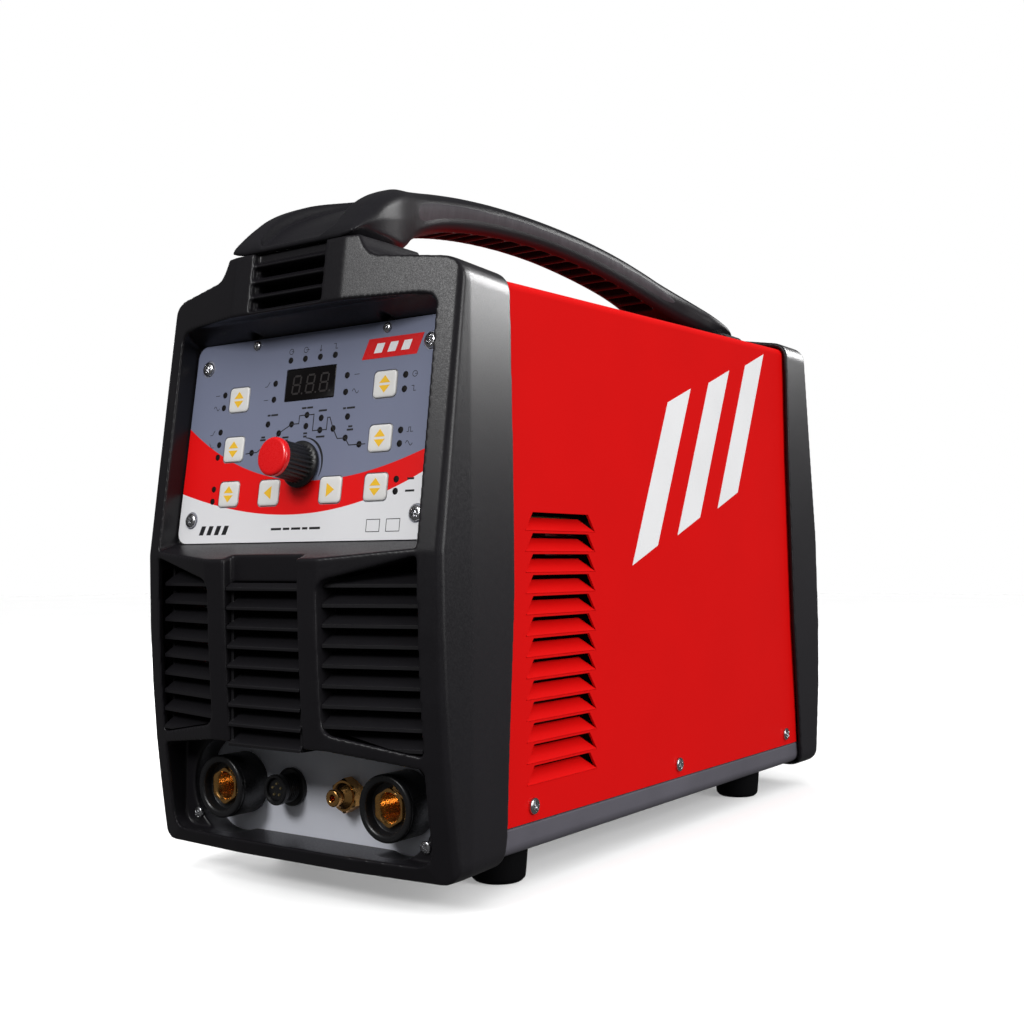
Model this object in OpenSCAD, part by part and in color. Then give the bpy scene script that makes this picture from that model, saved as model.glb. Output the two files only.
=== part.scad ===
// Portable TIG welding power source: moulded front and rear bezels, a folded sheet-metal
// cover on a base tray, an arched carrying handle, a tilted control panel and a connector
// bay. Millimetres, +Z up, front towards -Y, the red sides face +X and -X.
// The origin lies on the floor under the middle of the bounding box.
// Working frame: y = 0 at the front faces of the welding sockets, z = 0 on the floor.

/* [Case] */
// Half width of the folded cover
cover_half = 102; // [101:0.5:102.5]
// Half width of the front bezel at its front corners
bezel_half = 111; // [110:0.5:112]
// Height of the bezels' underside above the floor
belly_z = 17; // [16:0.5:18]
// Height of the knuckle where the front changes slope
knuckle_z = 186; // [185:0.5:187]
// Backward tilt of the front above the knuckle
face_tilt = 7.8; // [7.5:0.1:8.1]
// Rise of the cover's top towards the rear, in degrees
top_rise = 1.8; // [1.6:0.1:2]
// Sheet thickness of the cover and tray
sheet = 1.5; // [1.2:0.1:1.6]
// Wall thickness of the plastic mouldings
wall = 3; // [2.8:0.1:3]

/* [Control panel] */
// Backward tilt of the control panel
panel_tilt = 8.3; // [8.1:0.1:8.4]
// Panel width
panel_w = 192; // [190:1:192]
// Panel height, measured along the panel
panel_h = 121; // [119:1:121]
// Key width
key_w = 16; // [15:0.5:16.5]
// Key height
key_h = 14.8; // [14:0.2:15]
// Knob cap diameter
knob_d = 22; // [20:0.5:22]
// Knob length in front of the panel
knob_len = 24; // [22:0.5:24]

/* [Connectors] */
// Distance of each welding socket from the centre line
socket_x = 62.4; // [61:0.2:63]
// Height of the socket axes
socket_z = 51.6; // [51:0.2:52]
// Outer diameter of a socket body
socket_d = 36; // [34:0.5:36]
// Bore of a socket's brass insert
socket_bore = 13.2; // [13:0.1:13.4]
// y of the connector plate's front face
plate_y = 21.6; // [21:0.2:22]

/* [Cooling] */
// Number of louvres on each side
louvre_count = 13; // [11:1:13]
// Louvre pitch
louvre_pitch = 11.85; // [11.8:0.05:11.9]
// Fan frame width
fan_w = 120; // [118:1:120]
// Number of fan blades
fan_blades = 7; // [5:1:9]

/* [Handle] */
// Height of the seam between bezel hump and handle
seam_z = 357; // [356:0.5:358]
// Half width of the handle's grip
grip_half = 18; // [17:0.5:19]

/* [Hidden] */

front_reach = 29.94;   // how far the prow stands in front of y = 0
rear_reach = 507.2;    // how far the cable gland reaches behind y = 0
mid_y = (rear_reach - front_reach) / 2;
fit_gap = 0.3;         // gap between neighbouring pieces
round_steps = 5;       // segments in each rounded corner of an outline

// Moves the working frame into the part's frame.
module rig() { translate([0, -mid_y, 0]) children(); }

// Extrudes an outline of [y, z] points from x0 to x1.
module along_x(x0, x1)
    translate([x0, 0, 0]) rotate([90, 0, 90]) linear_extrude(x1 - x0) children();

// Extrudes an outline of [x, z] points from y0 to y1.
module along_y(y0, y1)
    translate([0, y1, 0]) rotate([90, 0, 0]) linear_extrude(y1 - y0) children();

// A cylinder from y0 to y1 on the axis (x, z).
module rod_y(x, z, y0, y1, r)
    translate([x, y0, z]) rotate([-90, 0, 0]) cylinder(h = y1 - y0, r = r, $fn = 48);

// A cylinder from x0 to x1 on the axis (y, z).
module rod_x(y, z, x0, x1, r)
    translate([x0, y, z]) rotate([0, 90, 0]) cylinder(h = x1 - x0, r = r, $fn = 48);

module mirrored() {
    children();
    mirror([1, 0, 0]) children();
}

function unit(v) = v / norm(v);
function turn(a) = a > 180 ? a - 360 : a < -180 ? a + 360 : a;

// Points of one corner at p of radius r, with neighbours a and b.
function corner(a, p, b, r) =
    let(u = unit(a - p), v = unit(b - p), half = acos(u * v) / 2,
        t = r / tan(half), c = p + unit(u + v) * r / sin(half),
        s = p + u * t - c, e = p + v * t - c,
        a0 = atan2(s[1], s[0]), d = turn(atan2(e[1], e[0]) - a0))
    [for (k = [0:round_steps]) c + r * [cos(a0 + d * k / round_steps), sin(a0 + d * k / round_steps)]];

// Rounds an outline of [x, y, radius] points.
function rounded(pts) =
    let(n = len(pts), xy = [for (p = pts) [p[0], p[1]]])
    [for (i = [0:n - 1])
        each pts[i][2] == 0 ? [xy[i]] : corner(xy[(i + n - 1) % n], xy[i], xy[(i + 1) % n], pts[i][2])];

// Completes a half outline of [x, z, r] points, given from bottom to top at x > 0.
function both_halves(pts) =
    let(n = len(pts))
    concat(pts, [for (i = [n - 1:-1:0]) [-pts[i][0], pts[i][1], pts[i][2]]]);

module plate_shape(w, h, r) polygon(rounded(both_halves([[w / 2, -h / 2, r], [w / 2, h / 2, r]])));

// ---------------------------------------------------------------- front bezel
// y of the front corners at height z: straight above the knuckle, curved below it.
function corner_y(z) = z > knuckle_z
    ? -13 + (z - knuckle_z) * tan(face_tilt)
    : -13 + 13.5 * pow((knuckle_z - z) / 164, 2);
// How far the prow stands in front of the corners.
function prow(z) = z > 79 ? 17 : z < 30 ? 5 : 5 + 12 * (z - 30) / 49;

prow_flat = 42;        // half width of the prow's flat nose
bezel_back_half = 106.2;
bezel_back_y = 59;
side_crease_y = 13;
bezel_levels = [10, 30, 55, 79, 110, 145, knuckle_z, 365];

function bezel_plan(z, t) =
    let(f = corner_y(z) + t, p = prow(z), h = bezel_half - t)
    [[prow_flat, f - p], [h - 3, f - p * 3 / 69], [h, f + 2.6], [h, side_crease_y],
     [bezel_back_half - t, bezel_back_y + 6], [t - bezel_back_half, bezel_back_y + 6],
     [-h, side_crease_y], [-h, f + 2.6], [3 - h, f - p * 3 / 69], [-prow_flat, f - p]];

hump_half = 50;
hump_back_y = 46;

// Outline of the body and its shoulders for a half width h, shrunk by t.
shoulder_z = 339.4;
function shoulder_outline(h, t) = rounded(both_halves([
    [h - t, belly_z + t, 10 - t], [h - t, shoulder_z - t, 13 - t], [56, shoulder_z + 5.9 - t, 0]]));
// Outline of the hump with its concave feet.
function hump_outline(t) = rounded(both_halves([
    [60, 300, 0], [96, 300, 0], [96, shoulder_z + 1.6 - t, 0], [56 - t, shoulder_z + 5.9 - t, 12],
    [hump_half - t, seam_z - t, 0]]));

module bezel_form(t)
    intersection() {
        hull() for (z = bezel_levels) translate([0, 0, z]) linear_extrude(0.01) polygon(bezel_plan(z, t));
        union() {
            along_y(-60, hump_back_y - t) polygon(hump_outline(t));
            along_y(-60, side_crease_y) polygon(shoulder_outline(bezel_half, t));
            hull() {
                along_y(side_crease_y - 1, side_crease_y) polygon(shoulder_outline(bezel_half, t));
                along_y(bezel_back_y, bezel_back_y + 1) polygon(shoulder_outline(bezel_back_half, t));
            }
        }
    }

// Side outline whose back edge bows rearward at mid height.
module bezel_side_cut()
    along_x(-130, 130) polygon([[-60, 0], [42, 0], [49.4, 34], [55, 110], [59.2, 167],
        [58.6, 223], [55.4, 345], [55.4, 380], [-60, 380]]);

// Panel plane: s runs up the panel from its lower screw line, n stands out of it.
panel_foot = [-1.1, 206.3];
module on_panel() translate([0, panel_foot[0], panel_foot[1]]) rotate([90 - panel_tilt, 0, 0]) children();
panel_s0 = -13.8;
function panel_point(s, n) = [panel_foot[0] + s * sin(panel_tilt) - n * cos(panel_tilt),
                              panel_foot[1] + s * cos(panel_tilt) + n * sin(panel_tilt)];

window_half = 97.2;
window_side = rounded(both_halves([[window_half, 180, 9], [window_half, 321, 8]]));
bay_outline = rounded(both_halves([[97, 25.5, 9], [97, 76, 3], [prow_flat, 83, 0]]));
bay_block_outline = rounded(both_halves([[100, 22, 9], [100, 79, 3], [prow_flat, 90, 0]]));
grille_outline = rounded([[41, 92, 8], [97.6, 82.5, 2], [97.6, 184.5, 2], [41, 171, 8]]);

// The hooded window's space: between the sill and ceiling planes, down to the panel's seat.
seat_depth = 2;
module window_space()
    intersection() {
        along_y(-60, 60) polygon(window_side);
        along_x(-120, 120) polygon([[-60, 172.5], panel_point(panel_s0 - 0.4, 0),
            panel_point(panel_s0 - 0.4, -seat_depth), panel_point(panel_s0 + panel_h + 0.4, -seat_depth),
            panel_point(panel_s0 + panel_h + 0.4, 0), [-12, 328], [-60, 352]]);
    }

channel_half = 27.5;
// Space between the two prow ridges, in front of the recessed centre strip.
module channel_space() {
    along_x(-channel_half, channel_half)
        polygon([[-60, 79], [-14, 79], [-23, 171], [-23, knuckle_z + 4], [-60, knuckle_z + 4]]);
    along_x(-channel_half, channel_half)
        polygon([[-60, 322.6], [-6.6, 322.6], [-2, seam_z + 3], [-60, seam_z + 3]]);
}

slot_levels = [324.8, 333.8, 343.2];
slot_h = 4.8;
module nose_slots()
    for (z = slot_levels) translate([-26, -20, z]) cube([52, 40, slot_h]);

// Wedge fins that stand in front of the strips above the slots.
module nose_fins()
    for (z = slot_levels) let(b = z + slot_h + 0.1, f = corner_y(b) - 16)
        along_x(-28, 28) polygon([[f, b + 0.6], [f, b + 1.6], [f + 5, b + 4], [3, b + 4], [3, b], [f + 4, b]]);

// Solid blocks behind the front wall that carry the window, grilles and bay.
module bezel_inner_walls() {
    // window surround and its floor frame behind the panel
    difference() {
        along_y(-40, 34)
            polygon(rounded(both_halves([[window_half + wall, 174, 9], [window_half + wall, 331, 8]])));
        along_x(-140, 140) polygon([panel_point(-60, -8), panel_point(160, -8), [80, 380], [80, 140]]);
        // hollow below the sill and above the ceiling keeps a wall's thickness
        along_x(-96, 96) polygon([[-26, 174], [40, 174], [40, 186], panel_point(panel_s0 - 8, -9)]);
    }
    // pillars and centre strip
    translate([-prow_flat, -40, 76]) cube([2 * prow_flat, 42, 110]);
    // bay walls
    difference() {
        along_y(-40, plate_y - fit_gap) polygon(bay_block_outline);
        along_y(-40, 90) polygon(bay_outline);
    }
    // bay end blocks that shield the sockets
    intersection() {
        mirrored() translate([socket_x, 6, 20]) cube([40, plate_y - fit_gap - 6, 70]);
        along_y(-40, 90) polygon(bay_block_outline);
    }
    // hump front wall that holds the vent slots
    translate([-36, -20, 321]) cube([72, 26, seam_z - 321.5]);
}

module front_bezel()
    color([0.13, 0.13, 0.14]) rig() {
        bezel_body();
        nose_fins();
    }

module bezel_body()
    difference() {
        union() {
            difference() {
                bezel_form(0);
                bezel_form(wall);
                along_y(bezel_back_y - 6, 90) polygon(shoulder_outline(bezel_back_half, wall));
            }
            intersection() {
                bezel_form(0.02);
                bezel_inner_walls();
            }
        }
        difference() {
            translate([-150, -80, -10]) cube([300, 200, 400]);
            bezel_side_cut();
        }
        window_space();
        channel_space();
        nose_slots();
        mirrored() along_y(-60, 60) polygon(grille_outline);
        // centre grille opening
        translate([-channel_half, -60, 80.5]) cube([2 * channel_half, 80, 90]);
        along_y(-60, 5.9) polygon(bay_outline);
        // round pockets around the sockets and the plate's window
        mirrored() rod_y(socket_x, socket_z, 5, 40, 28);
        translate([-socket_x, -10, socket_z - 26]) cube([2 * socket_x, 60, 50]);
        // panel electronics window, its notch for the upper lamps, and screw holes
        on_panel() translate([0, panel_s0 + panel_h / 2, -30]) linear_extrude(40) plate_shape(172, 88, 4);
        on_panel() translate([-24, 86, -30]) cube([48, 9, 40]);
        for (p = panel_screw_places)
            on_panel() translate([p[0], p[1], -12]) cylinder(h = 30, r = 1.6, $fn = 24);
        // driver notches in the hood
        for (x = [-46, 54]) on_panel() translate([x, 106, -2.9]) cylinder(h = 30, r = 4.5, $fn = 32);
        mirrored() rod_y(86, 33.5, 0, 40, 1.6);
        // bolt holes for the handle
        mirrored() translate([38, 18, 330]) cylinder(h = 60, r = 2.6, $fn = 24);
        sheet_room(cover_y0 - fit_gap, 90);
    }

// Room for the cover and the tray between two y values.
module sheet_room(y0, y1) {
    intersection() {
        cover_tube(-fit_gap);
        translate([-120, y0, cover_low_z - fit_gap]) cube([240, y1 - y0, 400]);
    }
    translate([-cover_half - fit_gap, max(y0 - 4, 27.7), tray_z - fit_gap])
        cube([2 * (cover_half + fit_gap), y1 - max(y0 - 4, 27.7), 40]);
}

// ---------------------------------------------------------------- louvre grilles
blade_pitch = 10.45;
blade_t = 1.6;
// One blade profile in [y, z]: its front edge is low and its rear edge is high.
function blade_profile(z) =
    [[0, z - blade_t / 2], [0, z + blade_t / 2 + 0.2], [9.5, z + 7.4], [9.5, z + 5.6]];
prow_slope = atan(17 / (bezel_half - prow_flat));

// Grille opening less the fit gap and d.
module grille_shape(d)
    polygon(rounded([[41 + fit_gap + d, 92.6 + d, 7.5], [97.6 - fit_gap - d, 83 + d, 1.5],
        [97.6 - fit_gap - d, 184 - d, 1.5], [41 + fit_gap + d, 170.5 - d, 7.5]]));

module side_grille()
    intersection() {
        along_y(-60, 40) grille_shape(0);
        union() {
            translate([prow_flat, -24.5, 0]) rotate([0, 0, prow_slope])
                for (k = [0:8]) along_x(-4, 64) polygon(blade_profile(168.8 - k * blade_pitch));
            // stiles that join the blades
            translate([40, -15.6, 80]) cube([3.2, 8, 110]);
            translate([95.6, -5, 80]) cube([3, 10, 110]);
        }
    }

module vent_grille_right() color([0.1, 0.1, 0.11]) rig() side_grille();
module vent_grille_left() color([0.1, 0.1, 0.11]) rig() mirror([1, 0, 0]) side_grille();

center_half = channel_half - fit_gap;
module vent_grille_center()
    color([0.1, 0.1, 0.11]) rig() intersection() {
        union() {
            for (k = [0:8]) translate([0, -28.2 + k * 0.28, 0])
                along_x(-center_half, center_half) polygon(blade_profile(166.6 - k * 10.6));
            mirrored() translate([center_half - 2, -24, 81]) cube([2, 12, 89.2]);
        }
        translate([-center_half, -40, 80.8]) cube([2 * center_half, 60, 89.4]);
    }

// ---------------------------------------------------------------- sheet metal
cover_y0 = 32;
cover_y1 = 458;
cover_front_z = 336.6;   // top of the cover at cover_y0
cover_low_z = 36;
louvre_y = [75.2, 150.6];
louvre_top_y = [83, 142.6];
louvre_low_z = 56;
louvre_h = 10.6;

// Side outline of the cover in [y, z], with its rising top.
module cover_side_shape()
    polygon([[cover_y0, cover_low_z], [cover_y1, cover_low_z],
             [cover_y1 - 14, cover_front_z + (cover_y1 - cover_y0) * tan(top_rise) + 9],
             [cover_y0, cover_front_z + 9]]);

module cover_tube(inset)
    translate([0, cover_y0, cover_front_z]) rotate([top_rise, 0, 0]) translate([0, -20, -320])
        along_y(0, 480) polygon(rounded(both_halves([
            [cover_half - inset, 0, 0], [cover_half - inset, 320 - inset, 6 - inset]])));

module louvre_outline(grow)
    polygon([[louvre_y[0] - grow, 0], [louvre_y[1] + grow, 0],
             [louvre_top_y[1] + grow, louvre_h + grow], [louvre_top_y[0] - grow, louvre_h + grow]]);

module louvre_hole(z) translate([0, 0, z]) along_x(cover_half - 4, cover_half + 2) louvre_outline(0);

// The flap bends inward about the hole's lower edge.
module louvre_flap(z)
    translate([cover_half - sheet, 0, z]) rotate([0, -44, 0]) along_x(0, sheet)
        polygon([[louvre_y[0] + 0.6, -0.9], [louvre_y[1] - 0.6, -0.9],
                 [louvre_top_y[1] - 0.6, louvre_h - 1], [louvre_top_y[0] + 0.6, louvre_h - 1]]);

side_screw_y = [81.4, 256, 435.7];
side_screw_z = 44.6;

module outer_cover()
    color([0.83, 0.07, 0.07]) rig() {
        difference() {
            intersection() {
                difference() {
                    cover_tube(0);
                    cover_tube(sheet);
                }
                along_x(-110, 110) cover_side_shape();
            }
            mirrored() {
                for (k = [0:louvre_count - 1]) louvre_hole(louvre_low_z + k * louvre_pitch);
                for (y = side_screw_y) rod_x(y, side_screw_z, 90, 110, 2.1);
            }
            mirrored() translate([26, 456, 330]) cylinder(h = 40, r = 2, $fn = 20);
        }
        mirrored() for (k = [0:louvre_count - 1]) louvre_flap(louvre_low_z + k * louvre_pitch);
    }

tray_z = 19.6;
foot_places = [[76, 84], [-76, 84], [76, 402], [-76, 402]];

module tray_section()
    difference() {
        polygon(rounded(both_halves([[cover_half, tray_z, 7], [cover_half, 35, 1],
            [cover_half - sheet - fit_gap, 35.6, 0], [cover_half - sheet - fit_gap, 54, 0]])));
        polygon(rounded(both_halves([[cover_half - 3.4, tray_z + 1.8, 5.2],
            [cover_half - 3.4, 56, 0]])));
    }

module base_tray()
    color([0.42, 0.42, 0.46]) rig() difference() {
        union() {
            along_y(28, 462) tray_section();
            // front and rear upstands
            translate([-98, 28, tray_z + 1]) cube([196, 1.6, 40]);
            translate([-98, 460.4, tray_z + 1]) cube([196, 1.6, 32]);
        }
        for (p = foot_places) translate([p[0], p[1], 10]) cylinder(h = 30, r = 2.2, $fn = 24);
        mirrored() for (y = side_screw_y) rod_x(y, side_screw_z, 90, 110, 1.7);
        // intake slots in the floor
        for (x = [-44:22:44]) translate([x - 4, 200, 10]) cube([8, 90, 30]);
        mirrored() rod_y(socket_x, socket_z, 20, 40, 14);
        translate([-40, 20, 40]) cube([80, 20, 30]);
    }

// ---------------------------------------------------------------- rear bezel
rear_half = 106.5;
rear_outline_top = 354.6;
rear_hump_z = 368;
fan_x = 22;
fan_z = 148;

function rear_outline(t) = rounded(both_halves([
    [rear_half - t, belly_z + t, 10 - t], [rear_half - t, rear_outline_top - 2 - t, 12 - t],
    [58 - t, rear_outline_top + 6 - t, 10], [hump_half - t, rear_hump_z - t, 0]]));

module rear_side_shape(t)
    polygon([[459.8, 0], [455, 60], [448, 130], [441, 260], [439, 345], [438, 380],
             [472.6 - t, 380], [475.6 - t, 345], [486 - t, 266], [495 - t, 200], [498 - t, 130],
             [496.5 - t, 80], [490 - t, 24], [488.6 - t, 0]]);

module rear_bezel()
    color([0.13, 0.13, 0.14]) rig() difference() {
        union() {
            intersection() {
                along_y(420, 510) polygon(rear_outline(0));
                along_x(-130, 130) rear_side_shape(0);
            }
            // flat bosses under the switch, gland, gas inlet and earth stud
            translate([switch_x - 18, 478, switch_z - 15.5]) cube([36, switch_face_y - 478, 31]);
            rod_y(gland_x, gland_z, 486, gland_y, 17);
            rod_y(inlet_x, inlet_z, 485, inlet_y, 12.5);
            rod_y(stud_x, stud_z, 492, stud_y, 8);
        }
        intersection() {
            along_y(400, 510) polygon(rear_outline(wall));
            along_x(-130, 130) polygon([[400, 0], [400, 380], [472.6 - wall, 380], [475.6 - wall, 345],
                [486 - wall, 266], [495 - wall, 200], [498 - wall, 130], [496.5 - wall, 80],
                [490 - wall, 24], [488.6 - wall, 0]]);
        }
        // fan opening
        rod_y(fan_x, fan_z, 470, 520, 56);
        for (a = fan_corners) rod_y(fan_x + a[0], fan_z + a[1], 470, 520, 2.2);
        // switch, gland, gas inlet and earth stud
        translate([switch_x - 14.2, 470, switch_z - 11.7]) cube([28.4, 50, 23.4]);
        rod_y(gland_x, gland_z, 470, 520, 10.2);
        rod_y(inlet_x, inlet_z, 470, 520, 6.2);
        rod_y(stud_x, stud_z, 470, 520, 3.2);
        for (p = rear_screw_places) rod_y(p[0], p[1], 460, 520, 2.1);
        mirrored() translate([30, 458, 330]) cylinder(h = 60, r = 2.6, $fn = 24);
        sheet_room(420, cover_y1 + fit_gap);
        translate([-cover_half - fit_gap, 430, tray_z - fit_gap]) cube([2 * (cover_half + fit_gap), 32.3, 30]);
    }

fan_pitch = 105;
fan_corners = [for (sx = [-1, 1]) for (sz = [-1, 1]) [sx * fan_pitch / 2, sz * fan_pitch / 2]];
switch_x = -72;
switch_z = 306;
gland_x = -72;
gland_z = 246;
inlet_x = 74;
inlet_z = 250;
stud_x = -72;
stud_z = 62;
rear_screw_places = [[96, 300], [-96, 330], [96, 44], [-96, 44]];

// ---------------------------------------------------------------- handle
// Stations along the handle: [y, top z, underside z, half width, channel depth].
handle_path = [
    [-6, 360, 357.2, 46.5, 0.5], [-3.5, 364, 357.2, 47.5, 3], [0.5, 368.5, 357.2, 48.2, 6],
    [6.5, 375, 357.2, 48.5, 7.5], [14, 381.6, 357.2, 48.2, 8], [24, 387.8, 357.2, 46.8, 8],
    [36, 393.2, 357.2, 44, 7.5], [46, 396.6, 358.5, 40.5, 6.5], [58, 399.8, 364, 35, 5.5],
    [72, 403.3, 372.5, 28.5, 4], [90, 407.6, 380.5, 22.8, 2.5], [112, 411.9, 387.5, 19.6, 1],
    [140, 415.8, 392.8, 18.4, 0.4], [175, 418.8, 396.8, 18, 0.2], [215, 420.4, 399, 18, 0.2],
    [255, 420.4, 399, 18, 0.2], [295, 419, 396.8, 18, 0.2], [335, 416, 393, 18, 0.2],
    [370, 411.6, 388.2, 18.6, 0.2], [398, 406.4, 383, 21, 0.2], [420, 400.6, 377.5, 26, 0.2],
    [438, 394, 372.2, 33, 0.2], [450, 388.4, 368.4, 38.5, 0.2], [462, 382, 368.4, 42, 0.2],
    [470, 377, 368.4, 43.5, 0.2], [474, 372, 368.4, 43.5, 0.1]];

// Half section from the underside to the top, as [x, z].
function handle_half(s) =
    let(zt = s[1], zb = s[2], w = s[3], c = s[4], h = zt - zb,
        b = min(5, h * 0.35), k = w * (0.44 + 0.13 * min(1, c / 5)), e = min(9, h * 0.42, w - k - 2.2))
    [[w * 0.84 - b * 0.6, zb], [w * 0.88, zb + b * 0.5], [w, zb + h * 0.5],
     [w, zt - e], [w - e * 0.3, zt - e * 0.42], [w - e, zt - 0.4], [k + 1.6, zt], [k, zt - c]];
function handle_ring(s) =
    let(p = handle_half(s), n = len(p))
    concat([for (q = p) [q[0], s[0], q[1]]], [for (i = [n - 1:-1:0]) [-p[i][0], s[0], p[i][1]]]);

module ring_loft(rings) {
    n = len(rings[0]);
    m = len(rings);
    polyhedron(
        points = [for (r = rings) each r],
        faces = concat(
            [[for (i = [0:n - 1]) i]],
            [for (j = [0:m - 2]) for (i = [0:n - 1])
                [j * n + i, (j + 1) * n + i, (j + 1) * n + (i + 1) % n]],
            [for (j = [0:m - 2]) for (i = [0:n - 1])
                [j * n + i, (j + 1) * n + (i + 1) % n, j * n + (i + 1) % n]],
            [[for (i = [n - 1:-1:0]) (m - 1) * n + i]]),
        convexity = 8);
}

handle_pockets = 17;
// Height of the handle's underside and crown at y.
function handle_low(y) = lookup(y, [for (s = handle_path) [s[0], s[2]]]);
function handle_top(y) = lookup(y, [for (s = handle_path) [s[0], s[1]]]);

module handle_shell()
    color([0.14, 0.14, 0.15]) rig() difference() {
        ring_loft([for (s = handle_path) handle_ring(s)]);
        // beds for the side grips
        mirrored() grip_pad(0.15);
        // row of pockets in the underside
        for (k = [0:handle_pockets - 1]) {
            y = 84 + k * 19;
            translate([-11.5, y - 8, handle_low(y) - 20]) cube([23, 16, 30]);
        }
        // blind holes for the bolts
        mirrored() translate([38, 18, 350]) cylinder(h = 20, r = 2.3, $fn = 24);
        mirrored() translate([30, 458, 360]) cylinder(h = 14, r = 2.3, $fn = 24);
    }

// The side grips follow the handle between its crown and its underside.
grip_y = [70, 76, 86, 100, 120, 150, 190, 235, 280, 320, 355, 385, 405, 415];
grip_inset = [7, 3.5, 1.4, 0.4, 0, 0, 0, 0, 0, 0, 0, 0.6, 2.4, 5];
module grip_pad(grow) {
    n = len(grip_y);
    intersection() {
        along_x(12, 50) polygon(concat(
            [for (i = [0:n - 1]) [grip_y[i], handle_low(grip_y[i]) + 2.6 + grip_inset[i] - grow]],
            [for (i = [n - 1:-1:0]) [grip_y[i], handle_top(grip_y[i]) - 7.4 - grip_inset[i] * 0.8 + grow]]));
        grip_sweep(1.6 + grow);
    }
}

// Band just inside and outside the handle's side wall, d deep.
module grip_sweep(d) {
    inner = [for (s = handle_path) [s[3] - d, s[0]]];
    outer = [for (s = handle_path) [s[3] + 0.7, s[0]]];
    n = len(inner);
    translate([0, 0, 350]) linear_extrude(90)
        polygon(concat(inner, [for (i = [n - 1:-1:0]) outer[i]]));
}

module handle_grips()
    color([0.2, 0.2, 0.21]) rig() mirrored() grip_pad(0);

module pan_screw(head_r, head_h, shank_r, shank_l) {
    // head stands towards +z from z = 0, shank goes down
    intersection() {
        translate([0, 0, -head_r * 1.1]) sphere(r = head_r * 1.1 + head_h, $fn = 32);
        difference() {
            cylinder(h = head_h + 2, r = head_r, $fn = 32);
            translate([-head_r * 0.6, -0.45, head_h - 0.9]) cube([head_r * 1.2, 0.9, 4]);
            translate([-0.45, -head_r * 0.6, head_h - 0.9]) cube([0.9, head_r * 1.2, 4]);
        }
    }
    translate([0, 0, -shank_l]) cylinder(h = shank_l + 0.05, r = shank_r, $fn = 24);
}

module handle_bolts()
    color([0.7, 0.7, 0.72]) rig() {
        mirrored() translate([38, 18, 354 - fit_gap]) rotate([180, 0, 0]) pan_screw(4.4, 2.8, 2, 13);
        mirrored() translate([30, 458, 365 - fit_gap]) rotate([180, 0, 0]) pan_screw(4.4, 2.8, 2, 9);
    }

// ---------------------------------------------------------------- feet and screws
module rubber_feet()
    color([0.1, 0.1, 0.1]) rig() for (p = foot_places) translate([p[0], p[1], 0]) difference() {
        rotate_extrude($fn = 64) polygon([[0, 0], [14, 0], [15.4, 1.4], [17, tray_z - 1.2],
            [16.6, tray_z], [0, tray_z]]);
        cylinder(h = 30, r = 2.2, $fn = 24);
        translate([0, 0, -1]) cylinder(h = 9, r = 5.6, $fn = 32);
    }

module foot_screws()
    color([0.7, 0.7, 0.72]) rig() for (p = foot_places)
        translate([p[0], p[1], 8]) rotate([180, 0, 0]) pan_screw(4.6, 2.4, 2, 17);

module cover_screws()
    color([0.8, 0.8, 0.82]) rig() mirrored() for (y = side_screw_y)
        translate([cover_half, y, side_screw_z]) rotate([0, 90, 0]) pan_screw(4.6, 2.6, 1.5, 8);

// ---------------------------------------------------------------- control panel
panel_screw_places = [[85.8, 0], [-85.8, 0], [85.8, 92.9], [-85.8, 92.9], [-46, 103.6], [54, 103.6]];
led_r = 1.8;
led_places = [
    for (x = [-17.2, -5.8, 5.8, 17.2]) [x, 91.8],
    for (x = [-27.6, 27.8]) for (s = [79, 69.5]) [x, s],
    for (s = [75.4, 67.6]) [-69, s], for (s = [75.6, 67.7]) [70, s],
    for (s = [52.7, 45.1, 37.5]) [-69.4, s], for (s = [45.2, 37.8]) [70, s],
    for (s = [18.3, 11]) [-69.6, s], for (s = [18.6, 12.1]) [70.1, s],
    [-30.3, 55], [31, 55.3]];
cycle_leds = [[-41.2, 38.8], [-30.4, 43.1], [-20.8, 49.1], [-11.3, 53.8], [0.1, 58.4],
              [0.1, 52], [11.3, 55.9], [11.2, 49], [21.1, 49.2], [30.8, 43.3], [41.4, 39.1]];
display_c = [0, 76.8];
display_w = 38.2;
display_h = 18.8;
knob_s = 29.8;
key_places = [["key_left_top", -56.2, 71.5], ["key_left_middle", -56.2, 41.6],
              ["key_left_low", -56.2, 14.9], ["key_right_top", 56.2, 71.5],
              ["key_right_middle", 56.2, 41.6], ["key_right_low", 56.2, 14.9],
              ["key_arrow_left", -23.6, 14.6], ["key_arrow_right", 23.6, 14.6]];
plate_t = 1.5;
film_t = 0.4;

module panel_blank(t) linear_extrude(t) translate([0, panel_s0 + panel_h / 2])
    plate_shape(panel_w, panel_h, 7);

module panel_cutouts(key_gap, screws, small_screws) {
    for (k = key_places) translate([k[1], k[2], -20]) linear_extrude(40)
        plate_shape(key_w + 2 * key_gap, key_h + 2 * key_gap, 2.8);
    translate([0, knob_s, -20]) cylinder(h = 40, r = 5, $fn = 40);
    for (i = [0:5]) translate([panel_screw_places[i][0], panel_screw_places[i][1], -20])
        cylinder(h = 40, r = i < 4 ? screws : small_screws, $fn = 24);
    for (p = concat(led_places, cycle_leds)) translate([p[0], p[1], -20])
        cylinder(h = 40, r = led_r + 0.1, $fn = 20);
    translate([display_c[0], display_c[1], -20]) linear_extrude(40)
        plate_shape(display_w + 0.4, display_h + 0.4, 0.8);
}

module control_panel()
    color([0.5, 0.5, 0.52]) rig() on_panel() difference() {
        translate([0, 0, -film_t - plate_t]) panel_blank(plate_t);
        panel_cutouts(0.35, 1.7, 1.7);
    }

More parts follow.
